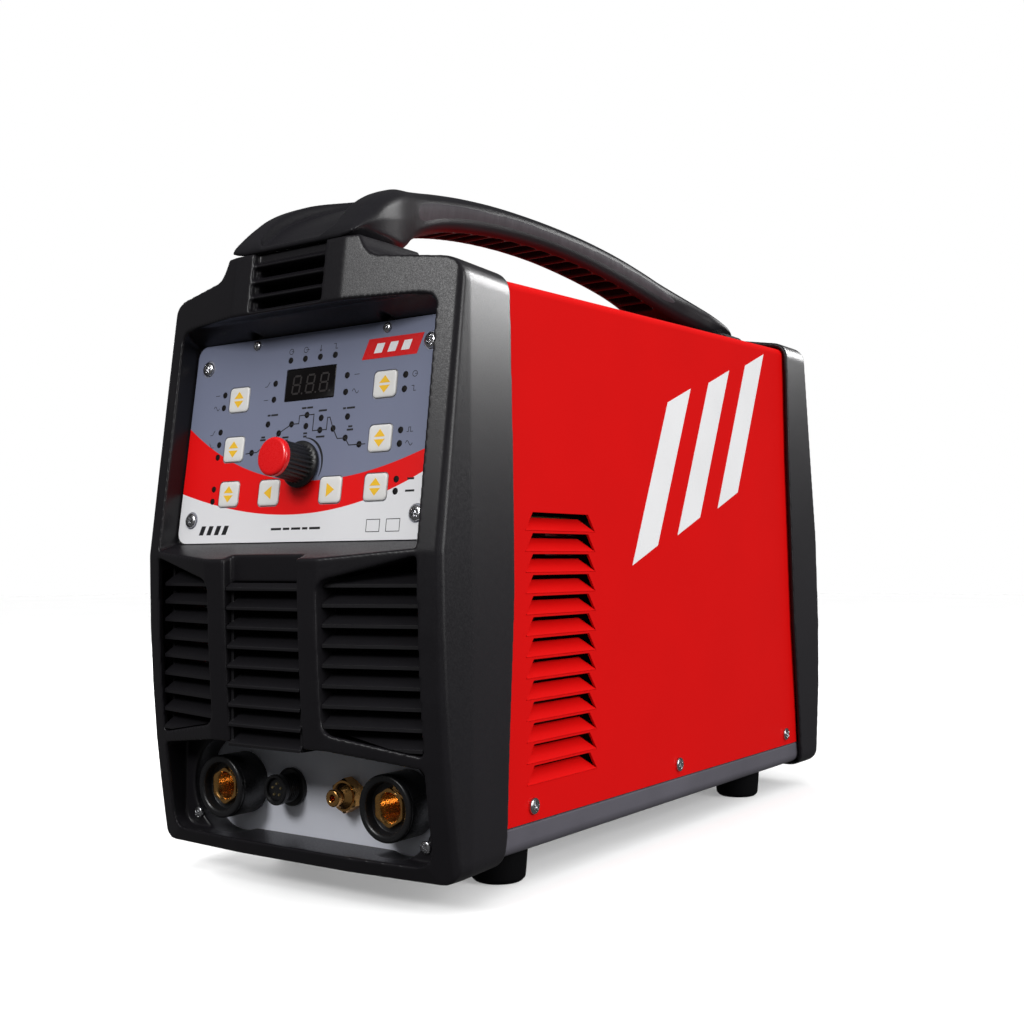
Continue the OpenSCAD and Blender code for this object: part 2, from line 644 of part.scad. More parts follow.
module panel_overlay()
    color([0.43, 0.44, 0.53]) rig() on_panel() difference() {
        translate([0, 0, -film_t]) panel_blank(film_t);
        panel_cutouts(0.6, 5.2, 3.2);
    }

module display_window()
    color([0.03, 0.03, 0.04]) rig() on_panel() translate([display_c[0], display_c[1], -1.8])
        linear_extrude(1.7) plate_shape(display_w, display_h, 0.7);

module display_module()
    color([0.15, 0.05, 0.05]) rig() on_panel() translate([display_c[0], display_c[1], -9.6])
        linear_extrude(7.5) plate_shape(37.6, 18.2, 0.4);

module indicator_leds()
    color([0.1, 0.08, 0.08]) rig() on_panel() for (p = concat(led_places, cycle_leds))
        translate([p[0], p[1], -8]) {
            cylinder(h = 7.8, r = led_r - 0.1, $fn = 20);
            cylinder(h = 1, r = led_r + 0.5, $fn = 20);
        }

key_travel = 0.8;
module key_piece(i)
    color([0.92, 0.92, 0.9]) rig() on_panel() translate([key_places[i][1], key_places[i][2], 0]) {
        translate([0, 0, -3.4]) linear_extrude(4) plate_shape(key_w, key_h, 2.5);
        // retaining lip behind the plate and plunger
        translate([0, 0, -3.4]) linear_extrude(1.2) plate_shape(key_w + 2.4, key_h + 2.4, 2);
        translate([0, 0, -6.2]) cylinder(h = 3, r = 2, $fn = 24);
    }
module key_left_top() key_piece(0);
module key_left_middle() key_piece(1);
module key_left_low() key_piece(2);
module key_right_top() key_piece(3);
module key_right_middle() key_piece(4);
module key_right_low() key_piece(5);
module key_arrow_left() key_piece(6);
module key_arrow_right() key_piece(7);

knob_ribs = 24;
module knob_body()
    color([0.12, 0.12, 0.13]) rig() on_panel() translate([0, knob_s, 0.5]) difference() {
        union() {
            cylinder(h = 2, r = knob_d / 2 + 2.4, $fn = 64);
            cylinder(h = knob_len - 4.5, r = knob_d / 2 - 0.6, $fn = 64);
            for (k = [0:knob_ribs - 1]) rotate([0, 0, k * 360 / knob_ribs])
                translate([knob_d / 2 - 1.2, -0.7, 0]) cube([1.4, 1.4, knob_len - 4.5]);
        }
        translate([0, 0, -1]) cylinder(h = knob_len - 5.5, r = 3.05, $fn = 40);
        translate([0, 0, -1]) cylinder(h = 4, r = 7, $fn = 40);
    }

module knob_cap()
    color([0.9, 0.08, 0.08]) rig() on_panel() translate([0, knob_s, knob_len - 4])
        rotate_extrude($fn = 64) polygon([[0, 0], [knob_d / 2, 0], [knob_d / 2, 2.9],
            [knob_d / 2 - 0.6, 3.7], [knob_d / 2 - 1.4, 4], [0, 4]]);

module encoder_shaft()
    color([0.75, 0.75, 0.77]) rig() on_panel() translate([0, knob_s, -6]) {
        cylinder(h = knob_len - 0.6, r = 3, $fn = 40);
    }

module encoder_body()
    color([0.3, 0.3, 0.33]) rig() on_panel() translate([0, knob_s, 0]) difference() {
        union() {
            translate([-6.2, -6.6, -9.6]) cube([12.4, 13.2, 6.6]);
            translate([0, 0, -3.1]) cylinder(h = 3.5, r = 4.6, $fn = 40);
        }
        translate([0, 0, -6.3]) cylinder(h = 20, r = 3.05, $fn = 40);
    }

module panel_screws()
    color([0.8, 0.8, 0.82]) rig() on_panel() for (i = [0:5])
        translate([panel_screw_places[i][0], panel_screw_places[i][1], 0.02 - film_t])
            pan_screw(i < 4 ? 4.4 : 2.8, i < 4 ? 2.4 : 1.8, 1.4, 8);

module control_board()
    color([0.1, 0.35, 0.18]) rig() on_panel() difference() {
        union() {
            translate([-84, -8, -11.6]) cube([168, 98, 1.6]);
            translate([-70, 46, -20]) cube([30, 20, 8.42]);
            translate([30, 44, -18]) cube([24, 24, 6.4]);
            translate([-20, 70, -22]) cube([40, 10, 10.4]);
        }
        translate([0, knob_s, -30]) cylinder(h = 60, r = 3.6, $fn = 24);
    }

// ---------------------------------------------------------------- connectors
remote_x = -24.6;
remote_z = 52.2;
gas_x = 20.8;
gas_z = 52.2;
plate_screws = [[-86, 33.5], [86, 33.5]];

module connector_plate()
    color([0.6, 0.62, 0.66]) rig() difference() {
        along_y(plate_y, plate_y + 1.5) polygon(rounded(both_halves([[99.4, 23, 6], [99.4, 78, 6]])));
        mirrored() rod_y(socket_x, socket_z, 0, 40, 11.2);
        rod_y(remote_x, remote_z, 0, 40, 7.4);
        rod_y(gas_x, gas_z, 0, 40, 5.2);
        for (p = plate_screws) rod_y(p[0], p[1], 0, 40, 1.7);
    }

module socket_shell(x)
    color([0.08, 0.08, 0.085]) rig() difference() {
        union() {
            rod_y(x, socket_z, 1.2, plate_y - 0.02, socket_d / 2);
            translate([x, 1.2, socket_z]) rotate([90, 0, 0]) rotate_extrude($fn = 96)
                polygon([[12, -0.4], [socket_d / 2, -0.4], [socket_d / 2, 0.2],
                    [socket_d / 2 - 1, 1.2], [12, 1.2]]);
            rod_y(x, socket_z, plate_y - 1, 33, 11);
        }
        // shallow dish with the key notch, and the seat of the brass insert
        rod_y(x, socket_z, -1, 6.4, 13.6);
        rod_y(x, socket_z, -1, 40, 9.2);
    }
module socket_negative() socket_shell(-socket_x);
module socket_positive() socket_shell(socket_x);

module socket_brass(x)
    color([0.8, 0.6, 0.25]) rig() difference() {
        union() {
            rod_y(x, socket_z, 6.6, 38, 9.05);
            // hexagonal collar around the mouth
            translate([x, 6.3, socket_z]) rotate([90, 0, 0]) cylinder(h = 2.6, r = 9.3 / cos(30), $fn = 6);
            translate([x, 6.7, socket_z]) rotate([90, 0, 0]) cylinder(h = 0.6, r = 8.6, $fn = 48);
            rod_y(x, socket_z, 33.3, 37.3, 13);
        }
        rod_y(x, socket_z, -10, 26, socket_bore / 2);
        // flared mouth
        translate([x, 3.5, socket_z]) rotate([-90, 0, 0])
            cylinder(h = 2.4, r1 = socket_bore / 2 + 1.6, r2 = socket_bore / 2, $fn = 48);
        // keyway of the bayonet
        translate([x - 2.1, -10, socket_z]) cube([4.2, 20, socket_bore / 2 + 1.9]);
    }
module socket_insert_negative() socket_brass(-socket_x);
module socket_insert_positive() socket_brass(socket_x);

module remote_connector()
    color([0.07, 0.07, 0.075]) rig() difference() {
        union() {
            rod_y(remote_x, remote_z, plate_y - 2.6, plate_y - 0.02, 11);
            rod_y(remote_x, remote_z, plate_y - 12, plate_y - 2, 8.2);
            rod_y(remote_x, remote_z, plate_y - 15, plate_y - 11.5, 8.8);
            rod_y(remote_x, remote_z, plate_y - 1, plate_y + 9, 7.2);
        }
        rod_y(remote_x, remote_z, 0, plate_y - 6, 6.5);
        rod_y(remote_x, remote_z, 0, plate_y + 20, 5);
    }

module remote_pins()
    color([0.7, 0.6, 0.35]) rig() {
        rod_y(remote_x, remote_z, plate_y - 13, plate_y - 6.1, 6.4);
        rod_y(remote_x, remote_z, plate_y - 7, plate_y + 8, 4.9);
        for (k = [0:4]) rod_y(remote_x + 3.4 * cos(90 + 72 * k), remote_z + 3.4 * sin(90 + 72 * k),
                              plate_y - 13.7, plate_y + 12, 0.8);
    }

module gas_outlet()
    color([0.8, 0.6, 0.25]) rig() difference() {
        union() {
            translate([gas_x, plate_y - 0.02, gas_z]) rotate([90, 0, 0])
                cylinder(h = 7.48, r = 8.5 / cos(30), $fn = 6);
            // coned shoulder, neck and collar
            translate([gas_x, plate_y, gas_z]) rotate([90, 0, 0]) rotate_extrude($fn = 48)
                polygon([[0, 7], [7.4, 7], [7.4, 7.8], [3.6, 10.5], [3.6, 13], [4.8, 13],
                    [4.8, 16], [4.2, 16.6], [0, 16.6]]);
            rod_y(gas_x, gas_z, plate_y - 0.5, plate_y + 12, 5);
            translate([gas_x, plate_y + 5.2, gas_z]) rotate([90, 0, 0])
                cylinder(h = 3.4, r = 8 / cos(30), $fn = 6);
        }
        rod_y(gas_x, gas_z, 0, plate_y + 30, 1.9);
    }

module connector_screws()
    color([0.8, 0.8, 0.82]) rig() for (p = plate_screws)
        translate([p[0], 6 - 0.02, p[1]]) rotate([90, 0, 0]) pan_screw(3.4, 2, 1.4, 20);

// ---------------------------------------------------------------- fan and rear parts
fan_y0 = 457;
fan_depth = 25;
hub_r = 19;

module fan_frame()
    color([0.12, 0.12, 0.13]) rig() {
        difference() {
            along_y(fan_y0, fan_y0 + fan_depth) translate([fan_x, fan_z]) plate_shape(fan_w, fan_w, 6);
            rod_y(fan_x, fan_z, fan_y0 - 1, fan_y0 + fan_depth + 1, 57);
            for (a = fan_corners) rod_y(fan_x + a[0], fan_z + a[1], fan_y0 - 1, fan_y0 + fan_depth + 1, 2.2);
        }
        // motor mount with spokes and axle
        rod_y(fan_x, fan_z, fan_y0 + 0.2, fan_y0 + 3.2, hub_r);
        rod_y(fan_x, fan_z, fan_y0 + 1, fan_y0 + 19.5, 2);
        for (k = [0:3]) translate([fan_x, fan_y0 + 0.5, fan_z]) rotate([0, 12 + 90 * k, 0])
            translate([hub_r - 3, 0, -2.5]) cube([41, 2.4, 5]);
    }

module fan_rotor()
    color([0.16, 0.16, 0.17]) rig() translate([fan_x, fan_y0 + 3.8, fan_z]) rotate([-90, 0, 0]) {
        difference() {
            cylinder(h = 18, r = hub_r, $fn = 64);
            translate([0, 0, -1]) cylinder(h = 17.2, r = 2.06, $fn = 32);
        }
        for (k = [0:fan_blades - 1]) rotate([0, 0, k * 360 / fan_blades])
            translate([hub_r - 0.6, 0, 9]) rotate([38, 0, 0]) translate([0, -12, -1]) cube([36.2, 24, 2]);
    }

guard_y = 498.6;
module fan_guard()
    color([0.7, 0.7, 0.72]) rig() {
        for (r = [14, 24, 34, 44, 54]) translate([fan_x, guard_y + 3.4, fan_z]) rotate([90, 0, 0])
            rotate_extrude($fn = 96) translate([r, 0]) circle(r = 1.2, $fn = 8);
        for (a = [45:90:315]) translate([fan_x, guard_y + 5.1, fan_z]) rotate([0, a, 0])
            rod_x(0, 0, 12, 69.8, 1.2);
        // stand-offs over the fan's screws
        for (a = fan_corners) difference() {
            rod_y(fan_x + a[0], fan_z + a[1], rear_y(fan_z + a[1]) + 0.7, guard_y + 5.6, 5);
            rod_y(fan_x + a[0], fan_z + a[1], guard_y - 5, guard_y + 9, 2.2);
        }
    }

module switch_body()
    color([0.08, 0.08, 0.085]) rig() difference() {
        union() {
            translate([switch_x - 16, switch_face_y, switch_z - 13.5]) cube([32, 2.4, 27]);
            translate([switch_x - 14, switch_face_y - 24, switch_z - 11.5]) cube([28, 25, 23]);
        }
        translate([switch_x - 12.6, switch_face_y - 7, switch_z - 9.6]) cube([25.2, 20, 19.2]);
        // bearing holes for the rocker's pivots
        rod_x(switch_face_y - 3.4, switch_z, switch_x - 14.6, switch_x + 14.6, 1.55);
    }
switch_face_y = 482.9;

module switch_rocker()
    color([0.75, 0.05, 0.05]) rig() {
        along_x(switch_x - 12, switch_x + 12) polygon([
            [switch_face_y - 4.6, switch_z - 5.2], [switch_face_y - 4.6, switch_z + 5.2],
            [switch_face_y - 0.2, switch_z + 7.4], [switch_face_y + 4.2, switch_z + 7.4],
            [switch_face_y + 3, switch_z], [switch_face_y + 2, switch_z - 7.4],
            [switch_face_y - 0.4, switch_z - 7.4]]);
        rod_x(switch_face_y - 3.4, switch_z, switch_x - 13.9, switch_x + 13.9, 1.5);
    }

gland_y = 491.2;
module cable_gland()
    color([0.1, 0.1, 0.1]) rig() difference() {
        union() {
            rod_y(gland_x, gland_z, gland_y - 12, gland_y, 10);
            translate([gland_x, gland_y + 4, gland_z]) rotate([90, 0, 0]) cylinder(h = 4, r = 13 / cos(30), $fn = 6);
            translate([gland_x, gland_y + 4, gland_z]) rotate([-90, 0, 0]) rotate_extrude($fn = 64)
                polygon([[0, -1], [12.4, -1], [12.4, 6], [9.4, 12], [0, 12]]);
        }
        rod_y(gland_x, gland_z, gland_y - 30, gland_y + 40, 5.5);
    }

inlet_y = 490;
module gas_inlet()
    color([0.8, 0.6, 0.25]) rig() difference() {
        union() {
            rod_y(inlet_x, inlet_z, inlet_y - 16, inlet_y, 6);
            translate([inlet_x, inlet_y + 5, inlet_z]) rotate([90, 0, 0]) cylinder(h = 5, r = 9.5 / cos(30), $fn = 6);
            translate([inlet_x, inlet_y + 4, inlet_z]) rotate([-90, 0, 0]) rotate_extrude($fn = 48)
                polygon([[0, 0], [4.6, 0], [4.6, 3], [3.9, 4.6], [4.9, 4.6], [3.9, 8], [4.9, 8], [3.6, 12], [0, 12]]);
        }
        rod_y(inlet_x, inlet_z, inlet_y - 30, inlet_y + 40, 2.4);
    }

stud_y = 495.8;
module earth_stud()
    color([0.8, 0.65, 0.3]) rig() {
        rod_y(stud_x, stud_z, stud_y - 12, stud_y + 8, 3);
        translate([stud_x, stud_y + 4.8, stud_z]) rotate([90, 0, 0]) cylinder(h = 4, r = 5 / cos(30), $fn = 6);
        rod_y(stud_x, stud_z, stud_y + 0.02, stud_y + 1.2, 6);
    }

module rating_plate()
    color([0.72, 0.72, 0.74]) rig() along_y(498.05, 498.85) translate([-72, 118]) plate_shape(36, 50, 2);

module rear_screws()
    color([0.8, 0.8, 0.82]) rig() {
        for (p = rear_screw_places) translate([p[0], rear_y(p[1]) + 0.7, p[1]]) rotate([-90, 0, 0])
            pan_screw(4.2, 2.2, 1.8, 12);
        for (a = fan_corners) translate([fan_x + a[0], guard_y + 5.65, fan_z + a[1]]) rotate([-90, 0, 0])
            pan_screw(4.2, 2, 1.9, 40);
    }
// y of the rear bezel's back face at height z.
function rear_y(z) = lookup(z, [[0, 488.6], [24, 490], [80, 496.5], [130, 498], [200, 495],
    [266, 486], [345, 475.6], [380, 472.6]]);

// ---------------------------------------------------------------- inside
module main_board()
    color([0.1, 0.35, 0.18]) rig() {
        difference() {
            translate([-86, 90, 206]) cube([172, 330, 1.6]);
            for (x = [-80, 80]) for (y = [96, 414]) translate([x, y, 200]) cylinder(h = 20, r = 1.7, $fn = 20);
        }
        translate([-82, 104, 207.6 - 0.02]) cube([30, 40, 24]);
        translate([-80, 340, 207.6 - 0.02]) cube([44, 50, 30]);
        translate([40, 330, 207.6 - 0.02]) cube([36, 36, 26]);
    }

sink_fins = 11;
module heat_sink(x0)
    translate([x0, 120, 80]) {
        cube([6, 280, 122]);
        for (k = [0:sink_fins - 1]) translate([5.8, 0, 2 + k * 11.4]) cube([32, 280, 2.2]);
    }
module heat_sinks()
    color([0.75, 0.76, 0.78]) rig() {
        mirrored() heat_sink(48);
    }

module power_modules()
    color([0.12, 0.12, 0.14]) rig() mirrored() for (k = [0:5]) translate([42.6, 134 + k * 44, 150])
        cube([5.2, 16, 21]);

module capacitors()
    color([0.15, 0.2, 0.35]) rig() for (x = [-30, 8]) for (y = [180, 224, 268])
        translate([x, y, 207.8]) cylinder(h = 46, r = 17.5, $fn = 48);

module main_transformer()
    color([0.45, 0.25, 0.12]) rig() {
        difference() {
            translate([-32, 150, 40]) cube([64, 60, 74]);
            translate([-20, 140, 54]) cube([12, 80, 46]);
            translate([8, 140, 54]) cube([12, 80, 46]);
        }
        difference() {
            translate([-19.4, 140, 56]) cube([38.8, 80, 42]);
            translate([-8.3, 149.7, 50]) cube([16.6, 60.6, 60]);
        }
    }

module output_choke()
    color([0.6, 0.35, 0.15]) rig() translate([0, 310, 44]) difference() {
        rotate_extrude($fn = 64) translate([26, 0]) square([16, 34], center = false);
        translate([0, 0, -1]) cylinder(h = 50, r = 20, $fn = 40);
    }

valve_y = 78;
module gas_valve()
    color([0.35, 0.35, 0.4]) rig() difference() {
        union() {
            translate([gas_x - 12, valve_y, gas_z - 13]) cube([24, 26, 26]);
            translate([gas_x - 10, valve_y + 3, gas_z + 13 - 0.02]) cube([20, 20, 28]);
            rod_y(gas_x, gas_z, valve_y - 10, valve_y + 0.5, 5);
            rod_y(gas_x, gas_z, valve_y + 25.5, valve_y + 36, 5);
        }
        rod_y(gas_x, gas_z, valve_y - 12, valve_y + 40, 2);
    }

// Inside gas line: short front tube and a long tube along the right wall to the inlet.
module gas_hose()
    color([0.2, 0.2, 0.22]) rig() {
        difference() {
            rod_y(gas_x, gas_z, plate_y + 12.3, valve_y - 10.2, 4.5);
            rod_y(gas_x, gas_z, plate_y, valve_y, 2.5);
        }
        difference() {
            sweep_tube([[gas_x, valve_y + 36.8, gas_z], [gas_x + 1, 122, gas_z], [36, 136, gas_z - 2],
                [60, 146, 50], [84, 156, 54], [91, 170, 66], [92, 200, 100], [92, 250, 160],
                [92, 320, 220], [91, 380, 245], [86, 420, 250], [78, 448, 250], [inlet_x, 462, inlet_z],
                [inlet_x, inlet_y - 16.4, inlet_z]], 4.2, 10);
        }
    }

// A tube of radius r swept along points, with the given number of sides.
function tangent_at(p, i) = unit(p[min(i + 1, len(p) - 1)] - p[max(i - 1, 0)]);
module sweep_tube(p, r, sides) {
    rings = [for (i = [0:len(p) - 1])
        let(t = tangent_at(p, i), u = unit(cross(t, abs(t[0]) < 0.8 ? [1, 0, 0] : [0, 0, 1])), v = cross(t, u))
        [for (k = [0:sides - 1]) p[i] + r * (u * cos(360 * k / sides) + v * sin(360 * k / sides))]];
    ring_loft(rings);
}

module busbars()
    color([0.75, 0.42, 0.2]) rig() mirrored() {
        difference() {
            translate([socket_x - 9, 38.3, socket_z - 12]) cube([18, 3, 60]);
            rod_y(socket_x, socket_z, 30, 60, 5);
        }
        translate([socket_x - 9, 38.3, socket_z + 44.5]) cube([18, 81, 3]);
    }

front_bezel();
vent_grille_left();
vent_grille_right();
vent_grille_center();
outer_cover();
base_tray();
rear_bezel();
handle_shell();
handle_grips();
handle_bolts();
rubber_feet();
foot_screws();
cover_screws();
control_panel();
panel_overlay();
display_window();
display_module();
indicator_leds();
key_left_top();
key_left_middle();
key_left_low();
key_right_top();
key_right_middle();
key_right_low();
key_arrow_left();
key_arrow_right();
knob_body();
knob_cap();
encoder_shaft();
encoder_body();
panel_screws();
control_board();
connector_plate();
socket_negative();
socket_positive();
socket_insert_negative();
socket_insert_positive();
remote_connector();
remote_pins();
gas_outlet();
connector_screws();
fan_frame();
fan_rotor();
fan_guard();
switch_body();
switch_rocker();
cable_gland();
gas_inlet();
earth_stud();
rating_plate();
rear_screws();
main_board();
heat_sinks();
power_modules();
capacitors();
main_transformer();
output_choke();
gas_valve();
gas_hose();
busbars();
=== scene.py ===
"""Looks of the portable TIG welding machine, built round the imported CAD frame.
Lengths are in millimetres in the working frame of part.scad (y = 0 at the fronts of the
welding sockets, z = 0 on the floor) and turn into the row frame's metres through at()."""
import math
import bpy
import bmesh
from mathutils import Matrix, Vector


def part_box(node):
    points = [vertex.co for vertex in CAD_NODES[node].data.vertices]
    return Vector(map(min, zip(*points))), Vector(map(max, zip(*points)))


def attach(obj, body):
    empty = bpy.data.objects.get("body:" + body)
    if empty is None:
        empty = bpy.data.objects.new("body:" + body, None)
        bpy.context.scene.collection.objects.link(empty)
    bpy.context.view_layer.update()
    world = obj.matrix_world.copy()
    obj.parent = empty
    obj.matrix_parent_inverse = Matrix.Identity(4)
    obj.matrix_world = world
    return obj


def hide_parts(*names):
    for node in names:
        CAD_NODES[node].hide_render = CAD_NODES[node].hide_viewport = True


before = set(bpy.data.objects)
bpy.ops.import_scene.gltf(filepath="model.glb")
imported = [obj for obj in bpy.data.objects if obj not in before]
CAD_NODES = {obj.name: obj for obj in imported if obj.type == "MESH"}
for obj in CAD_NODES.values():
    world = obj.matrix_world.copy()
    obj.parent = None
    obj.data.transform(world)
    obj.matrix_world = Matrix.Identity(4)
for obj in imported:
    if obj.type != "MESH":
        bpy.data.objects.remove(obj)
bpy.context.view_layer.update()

MM = 0.001
FRONT_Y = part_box("socket_negative")[0].y      # the socket fronts are the working frame's y = 0


def at(x, y, z):
    """A point of the working frame, in metres in the row frame."""
    return Vector((x * MM, y * MM + FRONT_Y, z * MM))


WORK = Matrix.Translation((0, FRONT_Y, 0)) @ Matrix.Scale(MM, 4)
PANEL_TILT = math.radians(8.3)
PANEL_FOOT = (0, -1.1, 206.3)                 # middle of the panel's lower screw line
# Panel frame: x across, s up the panel, n out of it, in millimetres.
PANEL = WORK @ Matrix.Translation(PANEL_FOOT) @ Matrix.Rotation(math.pi / 2 - PANEL_TILT, 4, "X")


def facing(point, axis):
    """Millimetre frame at a working-frame point whose +Z runs along axis."""
    turn = Vector(axis).to_track_quat("Z", "Y").to_matrix().to_4x4()
    return WORK @ Matrix.Translation(point) @ turn


# ------------------------------------------------------------------ camera and light
CAMERA_AT = (505.64, -517.33, 180.61)
CAMERA_TURN = (92.237, 0.362, 34.861)         # degrees
LENS = 45.09
camera_data = bpy.data.cameras.new("camera")
camera_data.lens = LENS
camera_data.sensor_width = 36
camera_data.clip_start = 0.01
camera = bpy.data.objects.new("camera", camera_data)
camera.location = at(*CAMERA_AT)
camera.rotation_euler = [math.radians(a) for a in CAMERA_TURN]
bpy.context.scene.collection.objects.link(camera)
bpy.context.scene.camera = camera
bpy.context.scene.view_settings.view_transform = "Standard"


def area_light(name, position, target, power, size_x, size_y):
    data = bpy.data.lights.new(name, "AREA")
    data.shape = "RECTANGLE"
    data.energy = power
    data.size = size_x
    data.size_y = size_y
    light = bpy.data.objects.new(name, data)
    light.location = position
    light.rotation_euler = (Vector(target) - Vector(position)).to_track_quat("-Z", "Y").to_euler()
    bpy.context.scene.collection.objects.link(light)
    return light


def sun_light(name, strength):
    data = bpy.data.lights.new(name, "SUN")
    data.energy = strength
    light = bpy.data.objects.new(name, data)
    bpy.context.scene.collection.objects.link(light)
    return light


dome = sun_light("dome", 2.9)                 # wide overhead source that keeps the floor white
dome.data.angle = math.radians(100)
dome.rotation_euler = (math.radians(8), math.radians(12), 0)
dome.visible_glossy = False
floor_lift = sun_light("floor_lift", 1.15)    # lifts the floor's shadows only
floor_lift.data.use_shadow = False
area_light("side_key", (1.9, -0.1, 0.75), (0.1, 0.0, 0.2), 26, 1.2, 0.9)
STRIP_AT = (0.66, 1.45, 1.0)
back_strip = area_light("back_strip", STRIP_AT, (0.1, -0.2, 0.3), 28, 0.45, 0.6)
area_light("far_fill", (-1.7, 1.2, 0.7), (0, 0.1, 0.2), 16, 0.9, 0.9)
handle_strip = area_light("handle_strip", STRIP_AT, (0, 0, 0.4), 9, 0.45, 0.6)
area_light("front_fill", (-0.14, -1.88, 1.25), (0, -0.2, 0.25), 18, 0.5, 0.5)


def light_only(light, objects):
    """Limits a light to some objects."""
    receivers = bpy.data.collections.new(light.name + "_receivers")
    for obj in objects:
        receivers.objects.link(obj)
    light.light_linking.receiver_collection = receivers


# the background is white for the camera and dim for every other ray
world = bpy.data.worlds.new("studio")
bpy.context.scene.world = world
world.use_nodes = True
world_tree = world.node_tree
dim = world_tree.nodes["Background"]
dim.inputs["Color"].default_value = (1, 1, 1, 1)
dim.inputs["Strength"].default_value = 0.08
white = world_tree.nodes.new("ShaderNodeBackground")
white.inputs["Strength"].default_value = 1.0
white.inputs["Color"].default_value = (1, 1, 1, 1)
rays = world_tree.nodes.new("ShaderNodeLightPath")
blend = world_tree.nodes.new("ShaderNodeMixShader")
world_tree.links.new(rays.outputs["Is Camera Ray"], blend.inputs[0])
world_tree.links.new(dim.outputs[0], blend.inputs[1])
world_tree.links.new(white.outputs[0], blend.inputs[2])
world_tree.links.new(blend.outputs[0], world_tree.nodes["World Output"].inputs["Surface"])


# ------------------------------------------------------------------ materials
def new_material(name):
    material = bpy.data.materials.new(name)
    material.use_nodes = True
    tree = material.node_tree
    return material, tree, tree.nodes["Principled BSDF"]


def noise_node(tree, scale, detail=3.0, stretch=(1, 1, 1)):
    """Noise in the row frame's coordinates, scale in cells per metre."""
    coords = tree.nodes.new("ShaderNodeTexCoord")
    mapping = tree.nodes.new("ShaderNodeMapping")
    mapping.inputs["Scale"].default_value = stretch
    noise = tree.nodes.new("ShaderNodeTexNoise")
    noise.inputs["Scale"].default_value = scale
    noise.inputs["Detail"].default_value = detail
    tree.links.new(coords.outputs["Object"], mapping.inputs["Vector"])
    tree.links.new(mapping.outputs["Vector"], noise.inputs["Vector"])
    return noise


def spread(tree, source, low, high, from_low=0.3, from_high=0.7):
    node = tree.nodes.new("ShaderNodeMapRange")
    node.inputs["From Min"].default_value = from_low
    node.inputs["From Max"].default_value = from_high
    node.inputs["To Min"].default_value = low
    node.inputs["To Max"].default_value = high
    tree.links.new(source, node.inputs["Value"])
    return node.outputs["Result"]


def mix_colour(tree, factor, a, b):
    node = tree.nodes.new("ShaderNodeMix")
    node.data_type = "RGBA"
    colour_inputs = [s for s in node.inputs if s.type == "RGBA"]
    for socket, value in zip(colour_inputs, (a, b)):
        if hasattr(value, "is_linked"):
            tree.links.new(value, socket)
        else:
            socket.default_value = (*value, 1)
    tree.links.new(factor, node.inputs["Factor"])
    return [s for s in node.outputs if s.type == "RGBA"][0]


def finish(name, colour, rough, metal=0.0, grain=1500, bump=0.15, depth=0.0001, tone=0.12,
           rough_spread=0.08, coat=0.0, coat_rough=0.05, stretch=(1, 1, 1), specular=0.5,
           mottle=18):
    """A surface with fine grain in its bump, slow tone changes and uneven roughness."""
    material, tree, shader = new_material(name)
    shader.inputs["Metallic"].default_value = metal
    shader.inputs["Coat Weight"].default_value = coat
    shader.inputs["Coat Roughness"].default_value = coat_rough
    shader.inputs["Specular IOR Level"].default_value = specular
    fine = noise_node(tree, grain, 4, stretch)
    slow = noise_node(tree, mottle, 3, stretch)
    darker = [c * (1 - tone) for c in colour]
    lighter = [min(1, c * (1 + tone)) for c in colour]
    slow_factor = spread(tree, slow.outputs["Fac"], 0, 1)
    tinted = mix_colour(tree, slow_factor, darker, lighter)
    speck = mix_colour(tree, spread(tree, fine.outputs["Fac"], 0, 0.35, 0.45, 0.75), tinted, lighter)
    tree.links.new(speck, shader.inputs["Base Color"])
    rough_value = spread(tree, fine.outputs["Fac"], rough - rough_spread, rough + rough_spread)
    tree.links.new(rough_value, shader.inputs["Roughness"])
    node = tree.nodes.new("ShaderNodeBump")
    node.inputs["Strength"].default_value = bump
    node.inputs["Distance"].default_value = depth
    tree.links.new(fine.outputs["Fac"], node.inputs["Height"])
    tree.links.new(node.outputs["Normal"], shader.inputs["Normal"])
    return material


